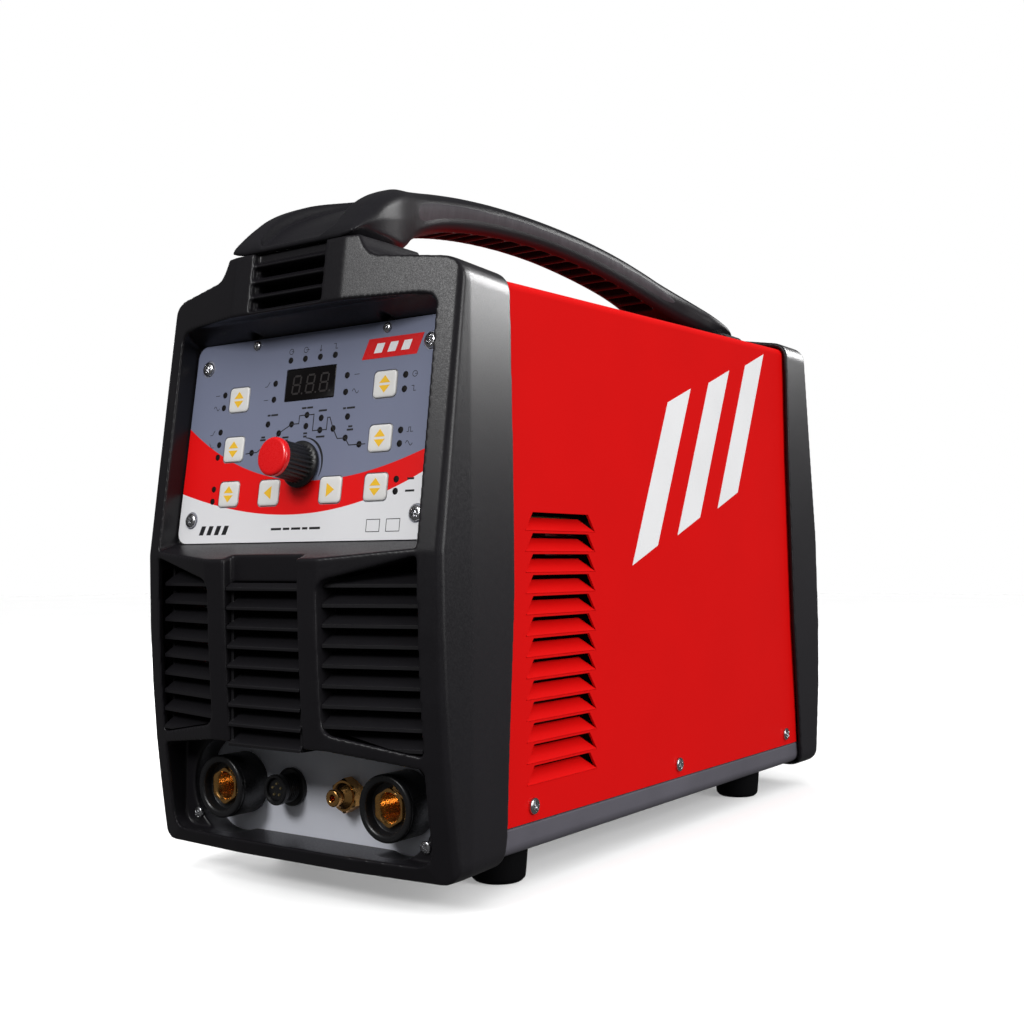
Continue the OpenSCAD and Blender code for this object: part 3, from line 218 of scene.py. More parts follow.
MAT = {
    "bezel_plastic": finish("bezel_plastic", (0.0085, 0.0078, 0.0095), 0.36, bump=0.3, grain=1500,
                            depth=0.0001, tone=0.1, specular=0.3),
    "grille_plastic": finish("grille_plastic", (0.008, 0.0075, 0.009), 0.45, bump=0.25, grain=1500,
                             specular=0.3),
    "red_sheet": finish("red_sheet", (0.66, 0.0035, 0.0035), 0.42, grain=2600, bump=0.05, tone=0.02,
                        rough_spread=0.04, specular=0.14),
    "tray_sheet": finish("tray_sheet", (0.15, 0.143, 0.17), 0.42, metal=0.35, grain=900, bump=0.08),
    "handle_plastic": finish("handle_plastic", (0.011, 0.0105, 0.0125), 0.36, bump=0.3, grain=1500,
                             depth=0.0001, tone=0.1, specular=0.2),
    "grip_rubber": finish("grip_rubber", (0.035, 0.032, 0.038), 0.62, bump=0.15, grain=800, tone=0.2,
                          mottle=120, stretch=(1, 1, 0.12), specular=0.2),
    "foot_rubber": finish("foot_rubber", (0.003, 0.003, 0.0035), 0.8, bump=0.3, grain=1200,
                          specular=0.08),
    "zinc_screw": finish("zinc_screw", (0.62, 0.62, 0.64), 0.24, metal=1, grain=900, bump=0.1),
    "dark_screw": finish("dark_screw", (0.35, 0.35, 0.36), 0.35, metal=1, grain=900, bump=0.1),
    "panel_sheet": finish("panel_sheet", (0.3, 0.31, 0.36), 0.4, grain=900, bump=0.06),
    "display_plastic": finish("display_plastic", (0.003, 0.0022, 0.0025), 0.18, grain=300, bump=0.01,
                              tone=0.05, rough_spread=0.02, specular=0.35),
    "segment_module": finish("segment_module", (0.03, 0.02, 0.02), 0.4, grain=600, bump=0.05),
    "lamp_plastic": finish("lamp_plastic", (0.007, 0.006, 0.006), 0.5, grain=700, bump=0.03,
                           specular=0.2),
    "key_plastic": finish("key_plastic", (0.78, 0.77, 0.75), 0.38, grain=1200, bump=0.08, tone=0.04),
    "arrow_yellow": finish("arrow_yellow", (0.95, 0.56, 0.03), 0.4, grain=1200, bump=0.04, tone=0.04),
    "knob_plastic": finish("knob_plastic", (0.012, 0.012, 0.013), 0.4, grain=1500, bump=0.2),
    "knob_red": finish("knob_red", (0.78, 0.004, 0.006), 0.3, grain=2500, bump=0.01, tone=0.05,
                       coat=0.4, coat_rough=0.1),
    "steel": finish("steel", (0.55, 0.55, 0.57), 0.28, metal=1, grain=900, bump=0.1),
    "encoder_metal": finish("encoder_metal", (0.42, 0.42, 0.44), 0.35, metal=1, grain=700, bump=0.1),
    "board_green": finish("board_green", (0.015, 0.12, 0.05), 0.35, grain=300, bump=0.1, mottle=60),
    "plate_silver": finish("plate_silver", (0.8, 0.82, 0.9), 0.36, metal=0.1, grain=1400,
                           bump=0.05, tone=0.04),
    "socket_plastic": finish("socket_plastic", (0.009, 0.009, 0.01), 0.33, grain=1300, bump=0.12),
    "brass": finish("brass", (0.8, 0.43, 0.14), 0.24, metal=1, grain=900, bump=0.1, tone=0.15,
                    rough_spread=0.08),
    "contact_gold": finish("contact_gold", (0.75, 0.6, 0.3), 0.3, metal=1, grain=900, bump=0.1),
    "fan_plastic": finish("fan_plastic", (0.02, 0.02, 0.022), 0.4, grain=1300, bump=0.15),
    "guard_wire": finish("guard_wire", (0.6, 0.6, 0.62), 0.25, metal=1, grain=900, bump=0.1),
    "switch_plastic": finish("switch_plastic", (0.012, 0.012, 0.013), 0.3, grain=1200, bump=0.1),
    "rocker_plastic": finish("rocker_plastic", (0.55, 0.01, 0.01), 0.28, grain=900, bump=0.05),
    "label_metal": finish("label_metal", (0.5, 0.5, 0.52), 0.35, metal=0.9, grain=900, bump=0.08,
                          stretch=(0.1, 1, 1)),
    "sink_aluminium": finish("sink_aluminium", (0.6, 0.61, 0.63), 0.35, metal=1, grain=600, bump=0.1,
                             stretch=(1, 0.05, 1)),
    "power_epoxy": finish("power_epoxy", (0.02, 0.02, 0.022), 0.5, grain=900, bump=0.15),
    "capacitor_sleeve": finish("capacitor_sleeve", (0.02, 0.03, 0.09), 0.3, grain=600, bump=0.05),
    "core_winding": finish("core_winding", (0.16, 0.09, 0.05), 0.5, grain=400, bump=0.3),
    "choke_winding": finish("choke_winding", (0.35, 0.14, 0.04), 0.35, metal=0.6, grain=300, bump=0.4,
                            stretch=(1, 1, 0.1)),
    "valve_metal": finish("valve_metal", (0.2, 0.2, 0.22), 0.4, metal=0.5, grain=700, bump=0.1),
    "hose_rubber": finish("hose_rubber", (0.02, 0.02, 0.022), 0.5, grain=900, bump=0.15),
    "copper_bar": finish("copper_bar", (0.72, 0.3, 0.16), 0.3, metal=1, grain=700, bump=0.1),
    # near-black matte for the sheets that paint shade into the grille gaps and vent slots
    "painted_shade_black": finish("painted_shade_black", (0.004, 0.004, 0.004), 0.9, grain=900, bump=0.6, specular=0.05),
    "print_black": finish("print_black", (0.012, 0.012, 0.014), 0.45, grain=900, bump=0.04),
    "print_white": finish("print_white", (0.86, 0.86, 0.87), 0.35, grain=900, bump=0.04, tone=0.03),
    "print_red": finish("print_red", (0.7, 0.006, 0.008), 0.35, grain=900, bump=0.04, tone=0.04),
    "segment_unlit": finish("segment_unlit", (0.018, 0.014, 0.014), 0.5, grain=900, bump=0.02),
    "floor": finish("floor", (0.86, 0.86, 0.86), 0.6, grain=60, bump=0.01, tone=0.01,
                    rough_spread=0.03, mottle=3),
}


def overlay_material():
    """Printed film: grey above, a red band between two shallow curves, white below."""
    material, tree, shader = new_material("overlay_film")
    nodes, links = tree.nodes, tree.links

    def value(operation, a, b=None):
        node = nodes.new("ShaderNodeMath")
        node.operation = operation
        for socket, v in zip(node.inputs, (a, b)):
            if v is None:
                continue
            if isinstance(v, (int, float)):
                socket.default_value = v
            else:
                links.new(v, socket)
        return node.outputs[0]

    coords = nodes.new("ShaderNodeTexCoord")
    split = nodes.new("ShaderNodeSeparateXYZ")
    links.new(coords.outputs["Object"], split.inputs["Vector"])
    x = value("MULTIPLY", split.outputs["X"], 1 / MM)
    up = value("MULTIPLY", split.outputs["Z"], 1 / MM / math.cos(PANEL_TILT))
    s = value("SUBTRACT", up, PANEL_FOOT[2] / math.cos(PANEL_TILT))

    def above(middle, base, square, cube):
        """1 where s is above base + square u^2 + cube u^3, with u = x - middle."""
        u = value("SUBTRACT", x, middle)
        u2 = value("MULTIPLY", u, u)
        bend = value("ADD", value("MULTIPLY", u2, square),
                     value("MULTIPLY", value("MULTIPLY", u2, u), cube))
        edge = value("SUBTRACT", s, value("ADD", bend, base))
        return spread(tree, edge, 0, 1, -0.08, 0.08)

    red_up = above(-4.6, 1.6, 0.002074, 3.418e-6)
    grey_up = above(12, 20.4, 0.0026893, -3.593e-6)
    slow = noise_node(tree, 14, 2)
    grey = mix_colour(tree, spread(tree, slow.outputs["Fac"], 0, 1), (0.185, 0.205, 0.295),
                      (0.205, 0.225, 0.32))
    white_red = mix_colour(tree, red_up, (0.84, 0.84, 0.86), (0.86, 0.002, 0.003))
    colour = mix_colour(tree, grey_up, white_red, grey)
    links.new(colour, shader.inputs["Base Color"])
    fine = noise_node(tree, 2200, 2)
    links.new(spread(tree, fine.outputs["Fac"], 0.3, 0.42), shader.inputs["Roughness"])
    bump = nodes.new("ShaderNodeBump")
    bump.inputs["Strength"].default_value = 0.06
    bump.inputs["Distance"].default_value = 0.0001
    links.new(fine.outputs["Fac"], bump.inputs["Height"])
    links.new(bump.outputs["Normal"], shader.inputs["Normal"])
    return material


MAT["overlay_film"] = overlay_material()


# ------------------------------------------------------------------ mesh helpers
def piece(name, bm, material, body="root", replaces=(), sharp=35.0):
    """Turns a bmesh in row-frame metres into a piece that rides on a body."""
    mesh = bpy.data.meshes.new(name)
    bmesh.ops.recalc_face_normals(bm, faces=bm.faces)
    bm.to_mesh(mesh)
    bm.free()
    obj = bpy.data.objects.new(name, mesh)
    bpy.context.scene.collection.objects.link(obj)
    mesh.materials.append(MAT[material])
    shade(mesh, sharp)
    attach(obj, body)
    for node in replaces:
        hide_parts(node)
    return obj


def shade(mesh, sharp):
    mesh.polygons.foreach_set("use_smooth", [True] * len(mesh.polygons))
    mesh.set_sharp_from_angle(angle=math.radians(sharp))


def apply_modifiers(obj):
    depsgraph = bpy.context.evaluated_depsgraph_get()
    mesh = bpy.data.meshes.new_from_object(obj.evaluated_get(depsgraph))
    old = obj.data
    obj.modifiers.clear()
    obj.data = mesh
    bpy.data.meshes.remove(old)
    return obj


def add_bevel(obj, width, segments=2, angle=30.0):
    modifier = obj.modifiers.new("bevel", "BEVEL")
    modifier.width = width * MM
    modifier.segments = segments
    modifier.limit_method = "ANGLE"
    modifier.angle_limit = math.radians(angle)
    modifier.use_clamp_overlap = True
    return obj


WELD = 2e-6          # metres between points that a seam joins
FLAT = 0.6           # degrees between faces that count as one


def from_cad(node):
    """A bmesh of a CAD node with its seams welded and its flat faces merged."""
    bm = bmesh.new()
    bm.from_mesh(CAD_NODES[node].data)
    bmesh.ops.remove_doubles(bm, verts=bm.verts, dist=WELD)
    bmesh.ops.dissolve_limit(bm, angle_limit=math.radians(FLAT), verts=bm.verts, edges=bm.edges)
    return bm


def bevelled_cad(node, material, body="root", width=0.4, segments=2):
    """A copy of a CAD node with rounded edges and evenly shaded flats, in its place."""
    obj = piece(node + "_shape", from_cad(node), material, body, replaces=(node,), sharp=30)
    add_bevel(obj, width, segments)
    apply_modifiers(obj)
    shade(obj.data, 40)
    modifier = obj.modifiers.new("flat_faces", "WEIGHTED_NORMAL")
    modifier.keep_sharp = True
    apply_modifiers(obj)
    return obj


def remeshed(obj, voxel, smooth, keep):
    """Voxel remesh and smoothing, which rounds every edge as a moulding's edges are.
    voxel is in millimetres, and keep is the share of faces that stays."""
    modifier = obj.modifiers.new("remesh", "REMESH")
    modifier.mode = "VOXEL"
    modifier.voxel_size = voxel * MM
    modifier.use_smooth_shade = True
    modifier = obj.modifiers.new("smooth", "SMOOTH")
    modifier.factor = 0.5
    modifier.iterations = smooth
    modifier = obj.modifiers.new("thin", "DECIMATE")
    modifier.ratio = keep
    apply_modifiers(obj)
    obj.data.polygons.foreach_set("use_smooth", [True] * len(obj.data.polygons))
    return obj


def loft(rings, frame_matrix, bm=None, caps=True):
    """Skins a list of closed rings, each a list of points of equal count."""
    bm = bm or bmesh.new()
    rows = [[bm.verts.new(frame_matrix @ Vector(p)) for p in ring] for ring in rings]
    count = len(rows[0])
    for a, b in zip(rows, rows[1:]):
        for i in range(count):
            j = (i + 1) % count
            bm.faces.new((a[i], a[j], b[j], b[i]))
    if caps:
        bm.faces.new(rows[0][::-1])
        bm.faces.new(rows[-1])
    return bm


def lathe(profile, frame_matrix, bm=None, steps=64):
    """Turns [radius, height] points about the frame's +Z; radius 0 closes an end."""
    bm = bm or bmesh.new()
    rows = []
    for r, h in profile:
        if r <= 1e-6:
            rows.append([bm.verts.new(frame_matrix @ Vector((0, 0, h)))])
        else:
            rows.append([bm.verts.new(frame_matrix @ Vector((r * math.cos(a), r * math.sin(a), h)))
                         for a in (math.tau * k / steps for k in range(steps))])
    for a, b in zip(rows, rows[1:]):
        for i in range(steps):
            j = (i + 1) % steps
            if len(a) == 1 and len(b) == 1:
                continue
            if len(a) == 1:
                bm.faces.new((a[0], b[j], b[i]))
            elif len(b) == 1:
                bm.faces.new((a[i], a[j], b[0]))
            else:
                bm.faces.new((a[i], a[j], b[j], b[i]))
    return bm


def soft(points, radius, steps=3):
    """Rounds the inner corners of an open [r, h] profile."""
    out = [points[0]]
    for a, p, b in zip(points, points[1:], points[2:]):
        a, p, b = Vector(a), Vector(p), Vector(b)
        u, v = a - p, b - p
        r = min(radius, u.length * 0.45, v.length * 0.45)
        if r < 1e-4:
            out.append(tuple(p))
            continue
        start, end = p + u.normalized() * r, p + v.normalized() * r
        for k in range(steps + 1):
            t = k / steps
            q = start * (1 - t) ** 2 + p * 2 * t * (1 - t) + end * t * t
            out.append(tuple(q))
    out.append(points[-1])
    return out


def rounded_rectangle(w, h, r, steps=5):
    """Outline of a w by h rectangle round the origin, with corners of radius r."""
    points = []
    for cx, cy, start in ((1, 1, 0), (-1, 1, 90), (-1, -1, 180), (1, -1, 270)):
        for k in range(steps + 1):
            a = math.radians(start + 90 * k / steps)
            points.append((cx * (w / 2 - r) + r * math.cos(a), cy * (h / 2 - r) + r * math.sin(a)))
    return points


def slab(bm, outline, low, high, frame_matrix, bevel=0.0):
    """Extrudes a 2-D outline between two heights, with a small chamfer at the top."""
    cx = sum(p[0] for p in outline) / len(outline)
    cy = sum(p[1] for p in outline) / len(outline)

    def ring(inset, h):
        out = []
        for x, y in outline:
            d = Vector((x - cx, y - cy))
            k = max(0.0, 1 - inset / max(d.length, 1e-6))
            out.append((cx + d.x * k, cy + d.y * k, h))
        return out
    rings = [ring(0, low), ring(0, high)]
    if bevel:
        rings = [ring(0, low), ring(0, high - bevel), ring(bevel * 0.35, high - bevel * 0.35),
                 ring(bevel, high)]
    return loft(rings, frame_matrix, bm)


def ribbon(bm, points, width, low, high, frame_matrix):
    """A flat printed line along 2-D points, with mitred corners."""
    left, right = [], []
    for i, p in enumerate(points):
        p = Vector(p)
        a = Vector(points[max(i - 1, 0)])
        b = Vector(points[min(i + 1, len(points) - 1)])
        before = (p - a).normalized() if (p - a).length > 1e-9 else (b - p).normalized()
        after = (b - p).normalized() if (b - p).length > 1e-9 else before
        tangent = (before + after).normalized()
        normal = Vector((-tangent.y, tangent.x))
        reach = width / 2 / max(0.35, math.sqrt(max(0.0, (1 + before.dot(after)) / 2)))
        left.append(p + normal * reach)
        right.append(p - normal * reach)
    rings = []
    for a, b in zip(left, right):
        rings.append([(a.x, a.y, low), (b.x, b.y, low), (b.x, b.y, high), (a.x, a.y, high)])
    return loft(rings, frame_matrix, bm)


def smooth_curve(stations, per=6):
    """Catmull-Rom through rows of numbers."""
    out = []
    n = len(stations)
    for i in range(n - 1):
        p0, p1 = stations[max(i - 1, 0)], stations[i]
        p2, p3 = stations[i + 1], stations[min(i + 2, n - 1)]
        for k in range(per):
            t = k / per
            out.append([0.5 * (2 * b + (c - a) * t + (2 * a - 5 * b + 4 * c - d) * t * t
                               + (3 * b - a - 3 * c + d) * t ** 3)
                        for a, b, c, d in zip(p0, p1, p2, p3)])
    out.append(list(stations[-1]))
    return out


def cut(obj, bm):
    """Subtracts a closed cutter bmesh from a piece."""
    mesh = bpy.data.meshes.new("cutter")
    bmesh.ops.recalc_face_normals(bm, faces=bm.faces)
    bm.to_mesh(mesh)
    bm.free()
    tool = bpy.data.objects.new("cutter", mesh)
    bpy.context.scene.collection.objects.link(tool)
    modifier = obj.modifiers.new("cut", "BOOLEAN")
    modifier.operation = "DIFFERENCE"
    modifier.solver = "EXACT"
    modifier.object = tool
    apply_modifiers(obj)
    bpy.data.objects.remove(tool)
    bpy.data.meshes.remove(mesh)


# ------------------------------------------------------------------ mouldings
bezel = piece("front_bezel_moulding", from_cad("front_bezel"), "bezel_plastic",
              replaces=("front_bezel",))
remeshed(bezel, 0.8, 10, 0.35)

rear = piece("rear_bezel_moulding", from_cad("rear_bezel"), "bezel_plastic",
             replaces=("rear_bezel",))
remeshed(rear, 0.9, 7, 0.35)

# Handle stations: y, crown height, underside height, half width, front channel depth.
HANDLE = [
    (-6, 360, 357.2, 46.5, 0.5), (-3.5, 364, 357.2, 47.5, 3), (0.5, 368.5, 357.2, 48.2, 6),
    (6.5, 375, 357.2, 48.5, 7.5), (14, 381.6, 357.2, 48.2, 8), (24, 387.8, 357.2, 46.8, 8),
    (36, 393.2, 357.2, 44, 7.5), (46, 396.6, 358.5, 40.5, 6.5), (58, 399.8, 364, 35, 5.5),
    (72, 403.3, 372.5, 28.5, 4), (90, 407.6, 380.5, 22.8, 2.5), (112, 411.9, 387.5, 19.6, 1),
    (140, 415.8, 392.8, 18.4, 0.4), (175, 418.8, 396.8, 18, 0.2), (215, 420.2, 399, 18, 0.2),
    (255, 420.2, 399, 18, 0.2), (295, 418.8, 396.8, 18, 0.2), (335, 415.8, 393, 18, 0.2),
    (370, 411.4, 388.2, 18.6, 0.2), (398, 406.2, 383, 21, 0.2), (420, 400.4, 377.5, 26, 0.2),
    (438, 393.8, 372.2, 33, 0.2), (450, 388.2, 368.4, 38.5, 0.2), (462, 381.8, 368.4, 42, 0.2),
    (470, 376.8, 368.4, 43.3, 0.2), (474, 371.8, 368.4, 43.3, 0.1)]


HANDLE_FINE = smooth_curve(HANDLE, 8)
CROWN, UNDERSIDE, HALF_WIDTH = 1, 2, 3        # columns of a station


def handle_at(y, column):
    """One column of the handle's stations, read at y."""
    for a, b in zip(HANDLE_FINE, HANDLE_FINE[1:]):
        if y <= b[0]:
            t = max(0.0, (y - a[0]) / (b[0] - a[0]))
            return a[column] + (b[column] - a[column]) * t
    return HANDLE_FINE[-1][column]


def handle_section(station):
    """Half section from underside to crown, mirrored into a ring."""
    y, top, low, half, channel = station
    h = top - low
    inner = half * (0.44 + 0.13 * min(1, channel / 5))
    base, crown = min(5, h * 0.35), min(9, h * 0.42, half - inner - 2.2)
    right = [(half * 0.6, low), (half * 0.8 - base * 0.4, low), (half * 0.88, low + base * 0.35),
             (half * 0.965, low + base), (half, low + h * 0.5), (half, top - crown),
             (half - crown * 0.12, top - crown * 0.6), (half - crown * 0.4, top - crown * 0.27),
             (half - crown * 0.8, top - 0.7), (half - crown, top - 0.2),
             (inner + 1.6, top), (inner + 0.9, top - channel * 0.08),
             (inner + 0.4, top - channel * 0.4), (inner, top - channel * 0.9),
             (inner - 0.7, top - channel), (inner * 0.5, top - channel)]
    return [(x, y, z) for x, z in right] + [(-x, y, z) for x, z in reversed(right)]


handle = piece("handle_moulding", loft([handle_section(s) for s in HANDLE_FINE], WORK),
               "handle_plastic", replaces=("handle_shell",))
POCKETS, FIRST_POCKET_Y, POCKET_PITCH = 17, 84, 19
pockets = bmesh.new()
for k in range(POCKETS):
    y = FIRST_POCKET_Y + POCKET_PITCH * k
    low = handle_at(y, UNDERSIDE)
    slope = math.atan2(handle_at(y + 5, UNDERSIDE) - handle_at(y - 5, UNDERSIDE), 10)
    place = WORK @ Matrix.Translation((0, y, low)) @ Matrix.Rotation(slope, 4, "X")
    rings = [[(px, py, h) for px, py in rounded_rectangle(w, d, 2.5, 3)]
             for w, d, h in ((24, 16.5, -6), (23, 16, 0), (21, 14.5, 8), (18, 12, 10))]
    loft(rings, place, pockets)
cut(handle, pockets)
# Grip stations: y, rise of the lower edge, drop of the upper edge, stand-out from the wall.
GRIP = [(68, 5, 4, -1.4), (71, 3.8, 3.2, -0.4), (75, 2.6, 2.1, 0.25), (84, 1.2, 1, 0.4),
        (94, 0.4, 0.3, 0.4), (105, 0, 0, 0.35), (150, 0, 0, 0.3), (200, 0, 0, 0.3),
        (250, 0, 0, 0.3), (300, 0, 0, 0.3), (350, 0, 0, 0.3), (385, 0.6, 0.5, 0.35),
        (402, 2.2, 1.8, 0.35), (410, 3.8, 3, 0), (415, 5, 4, -1.4)]


GRIP_ABOVE_UNDERSIDE, GRIP_BELOW_CROWN, GRIP_DEPTH = 2.8, 7.6, 3.2


def grip_ring(station, side):
    """Section of a side grip, bulged outside and flat inside the handle."""
    y, rise, drop, out = station
    low = handle_at(y, UNDERSIDE) + GRIP_ABOVE_UNDERSIDE + rise
    top = handle_at(y, CROWN) - GRIP_BELOW_CROWN - drop
    half = handle_at(y, HALF_WIDTH)
    points = []
    for k in range(7):
        t = k / 6
        lean = -1.6 * (1 - t) ** 2 * 1.2
        edge = 0.45 * (abs(2 * t - 1) ** 6)
        points.append((side * (half + out + lean - edge), y, low + (top - low) * t))
    inner = [(side * (half - GRIP_DEPTH), y, z) for _, _, z in reversed(points)]
    return points + inner


remeshed(handle, 0.9, 7, 0.5)
for side, label in ((1, "right"), (-1, "left")):
    bm = loft([grip_ring(s, side) for s in smooth_curve(GRIP, 6)], WORK)
    grip = piece("handle_grip_" + label, bm, "grip_rubber", replaces=("handle_grips",), sharp=50)
    add_bevel(grip, 0.5, 2, 40)
    apply_modifiers(grip)
    shade(grip.data, 50)

# ------------------------------------------------------------------ sheet metal and grilles
bevelled_cad("outer_cover", "red_sheet", width=0.35, segments=2)
bevelled_cad("base_tray", "tray_sheet", width=0.4, segments=2)
for node in ("vent_grille_left", "vent_grille_right", "vent_grille_center"):
    bevelled_cad(node, "grille_plastic", width=0.5, segments=3)
bevelled_cad("connector_plate", "plate_silver", width=0.3)
bevelled_cad("control_panel", "panel_sheet", width=0.2)
bevelled_cad("rating_plate", "label_metal", width=0.2)
bevelled_cad("fan_frame", "fan_plastic", width=0.5)

# black sheets behind the front grilles and behind the hump's vent slots: painted shade that keeps the
# gaps dark
shade_sheets = slab(bmesh.new(), rounded_rectangle(186, 114, 6), 0, 3, facing((0, 24, 127), (0, 1, 0)), 0.6)
slab(shade_sheets, rounded_rectangle(68, 28, 3), 0, 2, facing((0, 6.6, 337), (0, 1, 0)), 0.4)
piece("grille_painted_shade", shade_sheets, "painted_shade_black")

FOOT_PROFILE = soft([(0, 8), (5.4, 8), (5.4, 0.6), (6, 0), (13.4, 0), (15.6, 2.2), (16.9, 17.4),
                     (16.5, 19.5), (0, 19.5)], 0.9)
FOOT_X, FRONT_FOOT_Y, REAR_FOOT_Y = 76, 84, 402
feet = bmesh.new()
for x in (FOOT_X, -FOOT_X):
    for y in (FRONT_FOOT_Y, REAR_FOOT_Y):
        lathe(FOOT_PROFILE, WORK @ Matrix.Translation((x, y, 0)), feet)
piece("rubber_feet_turned", feet, "foot_rubber", replaces=("rubber_feet",))


def screw_head(bm, place, radius, height, shank, length, spin):
    """Pan head with a cross recess, and its plain shank."""
    steps = 96
    arm, deep = radius * 0.62, height * 0.72
    wide = radius * 0.17

    def surface(x, y):
        """Height of the head at (x, y): a dome less the sloping arms of the cross."""
        r = math.hypot(x, y) / radius
        dome = height * (1 - 0.42 * r ** 2.6)
        c, s = math.cos(spin), math.sin(spin)
        u, v = abs(c * x + s * y), abs(-s * x + c * y)
        along, across = max(u, v), min(u, v)
        if along < arm and across < wide * 1.6:
            fall = min(1.0, max(0.0, (wide * 1.6 - across) / (wide * 0.7)))
            slope = min(1.0, (arm - along) / (arm * 0.35))
            dome -= deep * fall * slope
        return dome

    def circle(r):
        return [(r * math.cos(math.tau * i / steps), r * math.sin(math.tau * i / steps))
                for i in range(steps)]

    rings = []
    for share in [0.04 + 0.06 * k for k in range(11)] + [0.72, 0.8, 0.88, 0.95]:
        rings.append([(x, y, surface(x, y)) for x, y in circle(radius * share)])
    for share, rise in ((0.99, 0.5), (1.0, 0.38), (1.0, 0.02), (0.97, 0.0)):
        rings.append([(x, y, height * rise) for x, y in circle(radius * share)])
    for h in (0.0, -length + 0.5):
        rings.append([(x, y, h) for x, y in circle(shank)])
    loft(rings, place, bm)


panel_screws = bmesh.new()
CORNER_SCREWS = [(85.8, 0), (-85.8, 0), (85.8, 92.9), (-85.8, 92.9)]
TOP_SCREWS = [(-46, 103.6), (54, 103.6)]
SCREW_SEAT = -0.38                            # just above the plate, whose face is at -0.4
for i, (x, s) in enumerate(CORNER_SCREWS + TOP_SCREWS):
    radius, height = (4.3, 2.3) if (x, s) in CORNER_SCREWS else (2.7, 1.7)
    screw_head(panel_screws, PANEL @ Matrix.Translation((x, s, SCREW_SEAT)), radius, height, 1.4, 8,
               0.4 + i)
piece("panel_screws_turned", panel_screws, "zinc_screw", replaces=("panel_screws",))
cover_screws = bmesh.new()
COVER_HALF = 102.0                            # half of the cover's width
for side in (1, -1):
    for i, y in enumerate((81.4, 256, 435.7)):
        screw_head(cover_screws, facing((side * (COVER_HALF + 0.02), y, 44.6), (side, 0, 0)),
                   4.6, 2.5, 1.5, 8, 0.5 + i)
piece("cover_screws_turned", cover_screws, "zinc_screw", replaces=("cover_screws",))
bay_screws = bmesh.new()
for x in (-86, 86):
    screw_head(bay_screws, facing((x, 6, 33.5), (0, -1, 0)), 3.4, 1.9, 1.4, 20, 0.6)
piece("connector_screws_turned", bay_screws, "zinc_screw", replaces=("connector_screws",))

# ------------------------------------------------------------------ control panel
KEYS = {"key_left_top": (-56.2, 71.5), "key_left_middle": (-56.2, 41.6),
        "key_left_low": (-56.2, 14.9), "key_right_top": (56.2, 71.5),
        "key_right_middle": (56.2, 41.6), "key_right_low": (56.2, 14.9),
        "key_arrow_left": (-23.6, 14.6), "key_arrow_right": (23.6, 14.6)}
KEY_W, KEY_H, KEY_CORNER = 16, 14.8, 2.5
for node, (x, s) in KEYS.items():
    place = PANEL @ Matrix.Translation((x, s, 0))
    rings = []
    for inset, h in ((-1.2, -3.4), (-1.2, -2.2), (0, -2.2), (0, -0.1), (0.12, 0.15), (0.4, 0.38),
                     (1.0, 0.53), (2.6, 0.59), (5, 0.6)):
        outline = rounded_rectangle(KEY_W - 2 * inset, KEY_H - 2 * inset,
                                    max(0.5, KEY_CORNER - inset * 0.4), 6)
        rings.append([(px, py, h) for px, py in outline])
    piece(node + "_cap", loft(rings, place), "key_plastic", body=node, replaces=(node,))
    marks = bmesh.new()
    if "arrow" in node:
        way = 1 if node.endswith("right") else -1
        shapes = [[(way * 3.4, 0), (way * -2.4, 3.9), (way * -2.4, -3.9)]]
    else:
        shapes = [[(0, 4.9), (-3.9, 0.7), (3.9, 0.7)], [(0, -4.9), (3.9, -0.7), (-3.9, -0.7)]]
    for outline in shapes:
        slab(marks, outline, 0.54, 0.66, place)
    piece(node + "_mark", marks, "arrow_yellow", body=node)

KNOB_S = 29.8
KNOB = PANEL @ Matrix.Translation((0, KNOB_S, 0))
knob = bmesh.new()
ribs, per_rib = 24, 8
rings = []
for r, h, rib in ((3.06, -0.4, 0), (6.9, -0.4, 0), (7.0, 0.6, 0), (12.9, 0.6, 0), (13.4, 1.0, 0),
                  (13.4, 2.1, 0), (12.9, 2.6, 0), (11.3, 2.9, 0.2), (10.9, 3.6, 1), (10.7, 10, 1),
                  (10.5, 18.9, 1), (10.2, 19.6, 0.6), (9.6, 19.9, 0), (3.06, 19.9, 0)):
    ring = []
    for i in range(ribs * per_rib):
        a = math.tau * i / (ribs * per_rib)
        wave = 0.5 + 0.5 * math.cos(ribs * a)
        rr = r - rib * 0.9 * (1 - wave ** 0.7)
        ring.append((rr * math.cos(a), rr * math.sin(a), h))
    rings.append(ring)
loft(rings, KNOB, knob, caps=False)
piece("knob_ribbed_body", knob, "knob_plastic", body="knob", replaces=("knob_body",))
cap = lathe(soft([(0, 20), (10.6, 20), (11, 20.4), (11, 22.6), (10.5, 23.5), (9.4, 23.95), (0, 24)],
                 0.4), KNOB)
piece("knob_red_cap", cap, "knob_red", body="knob", replaces=("knob_cap",))

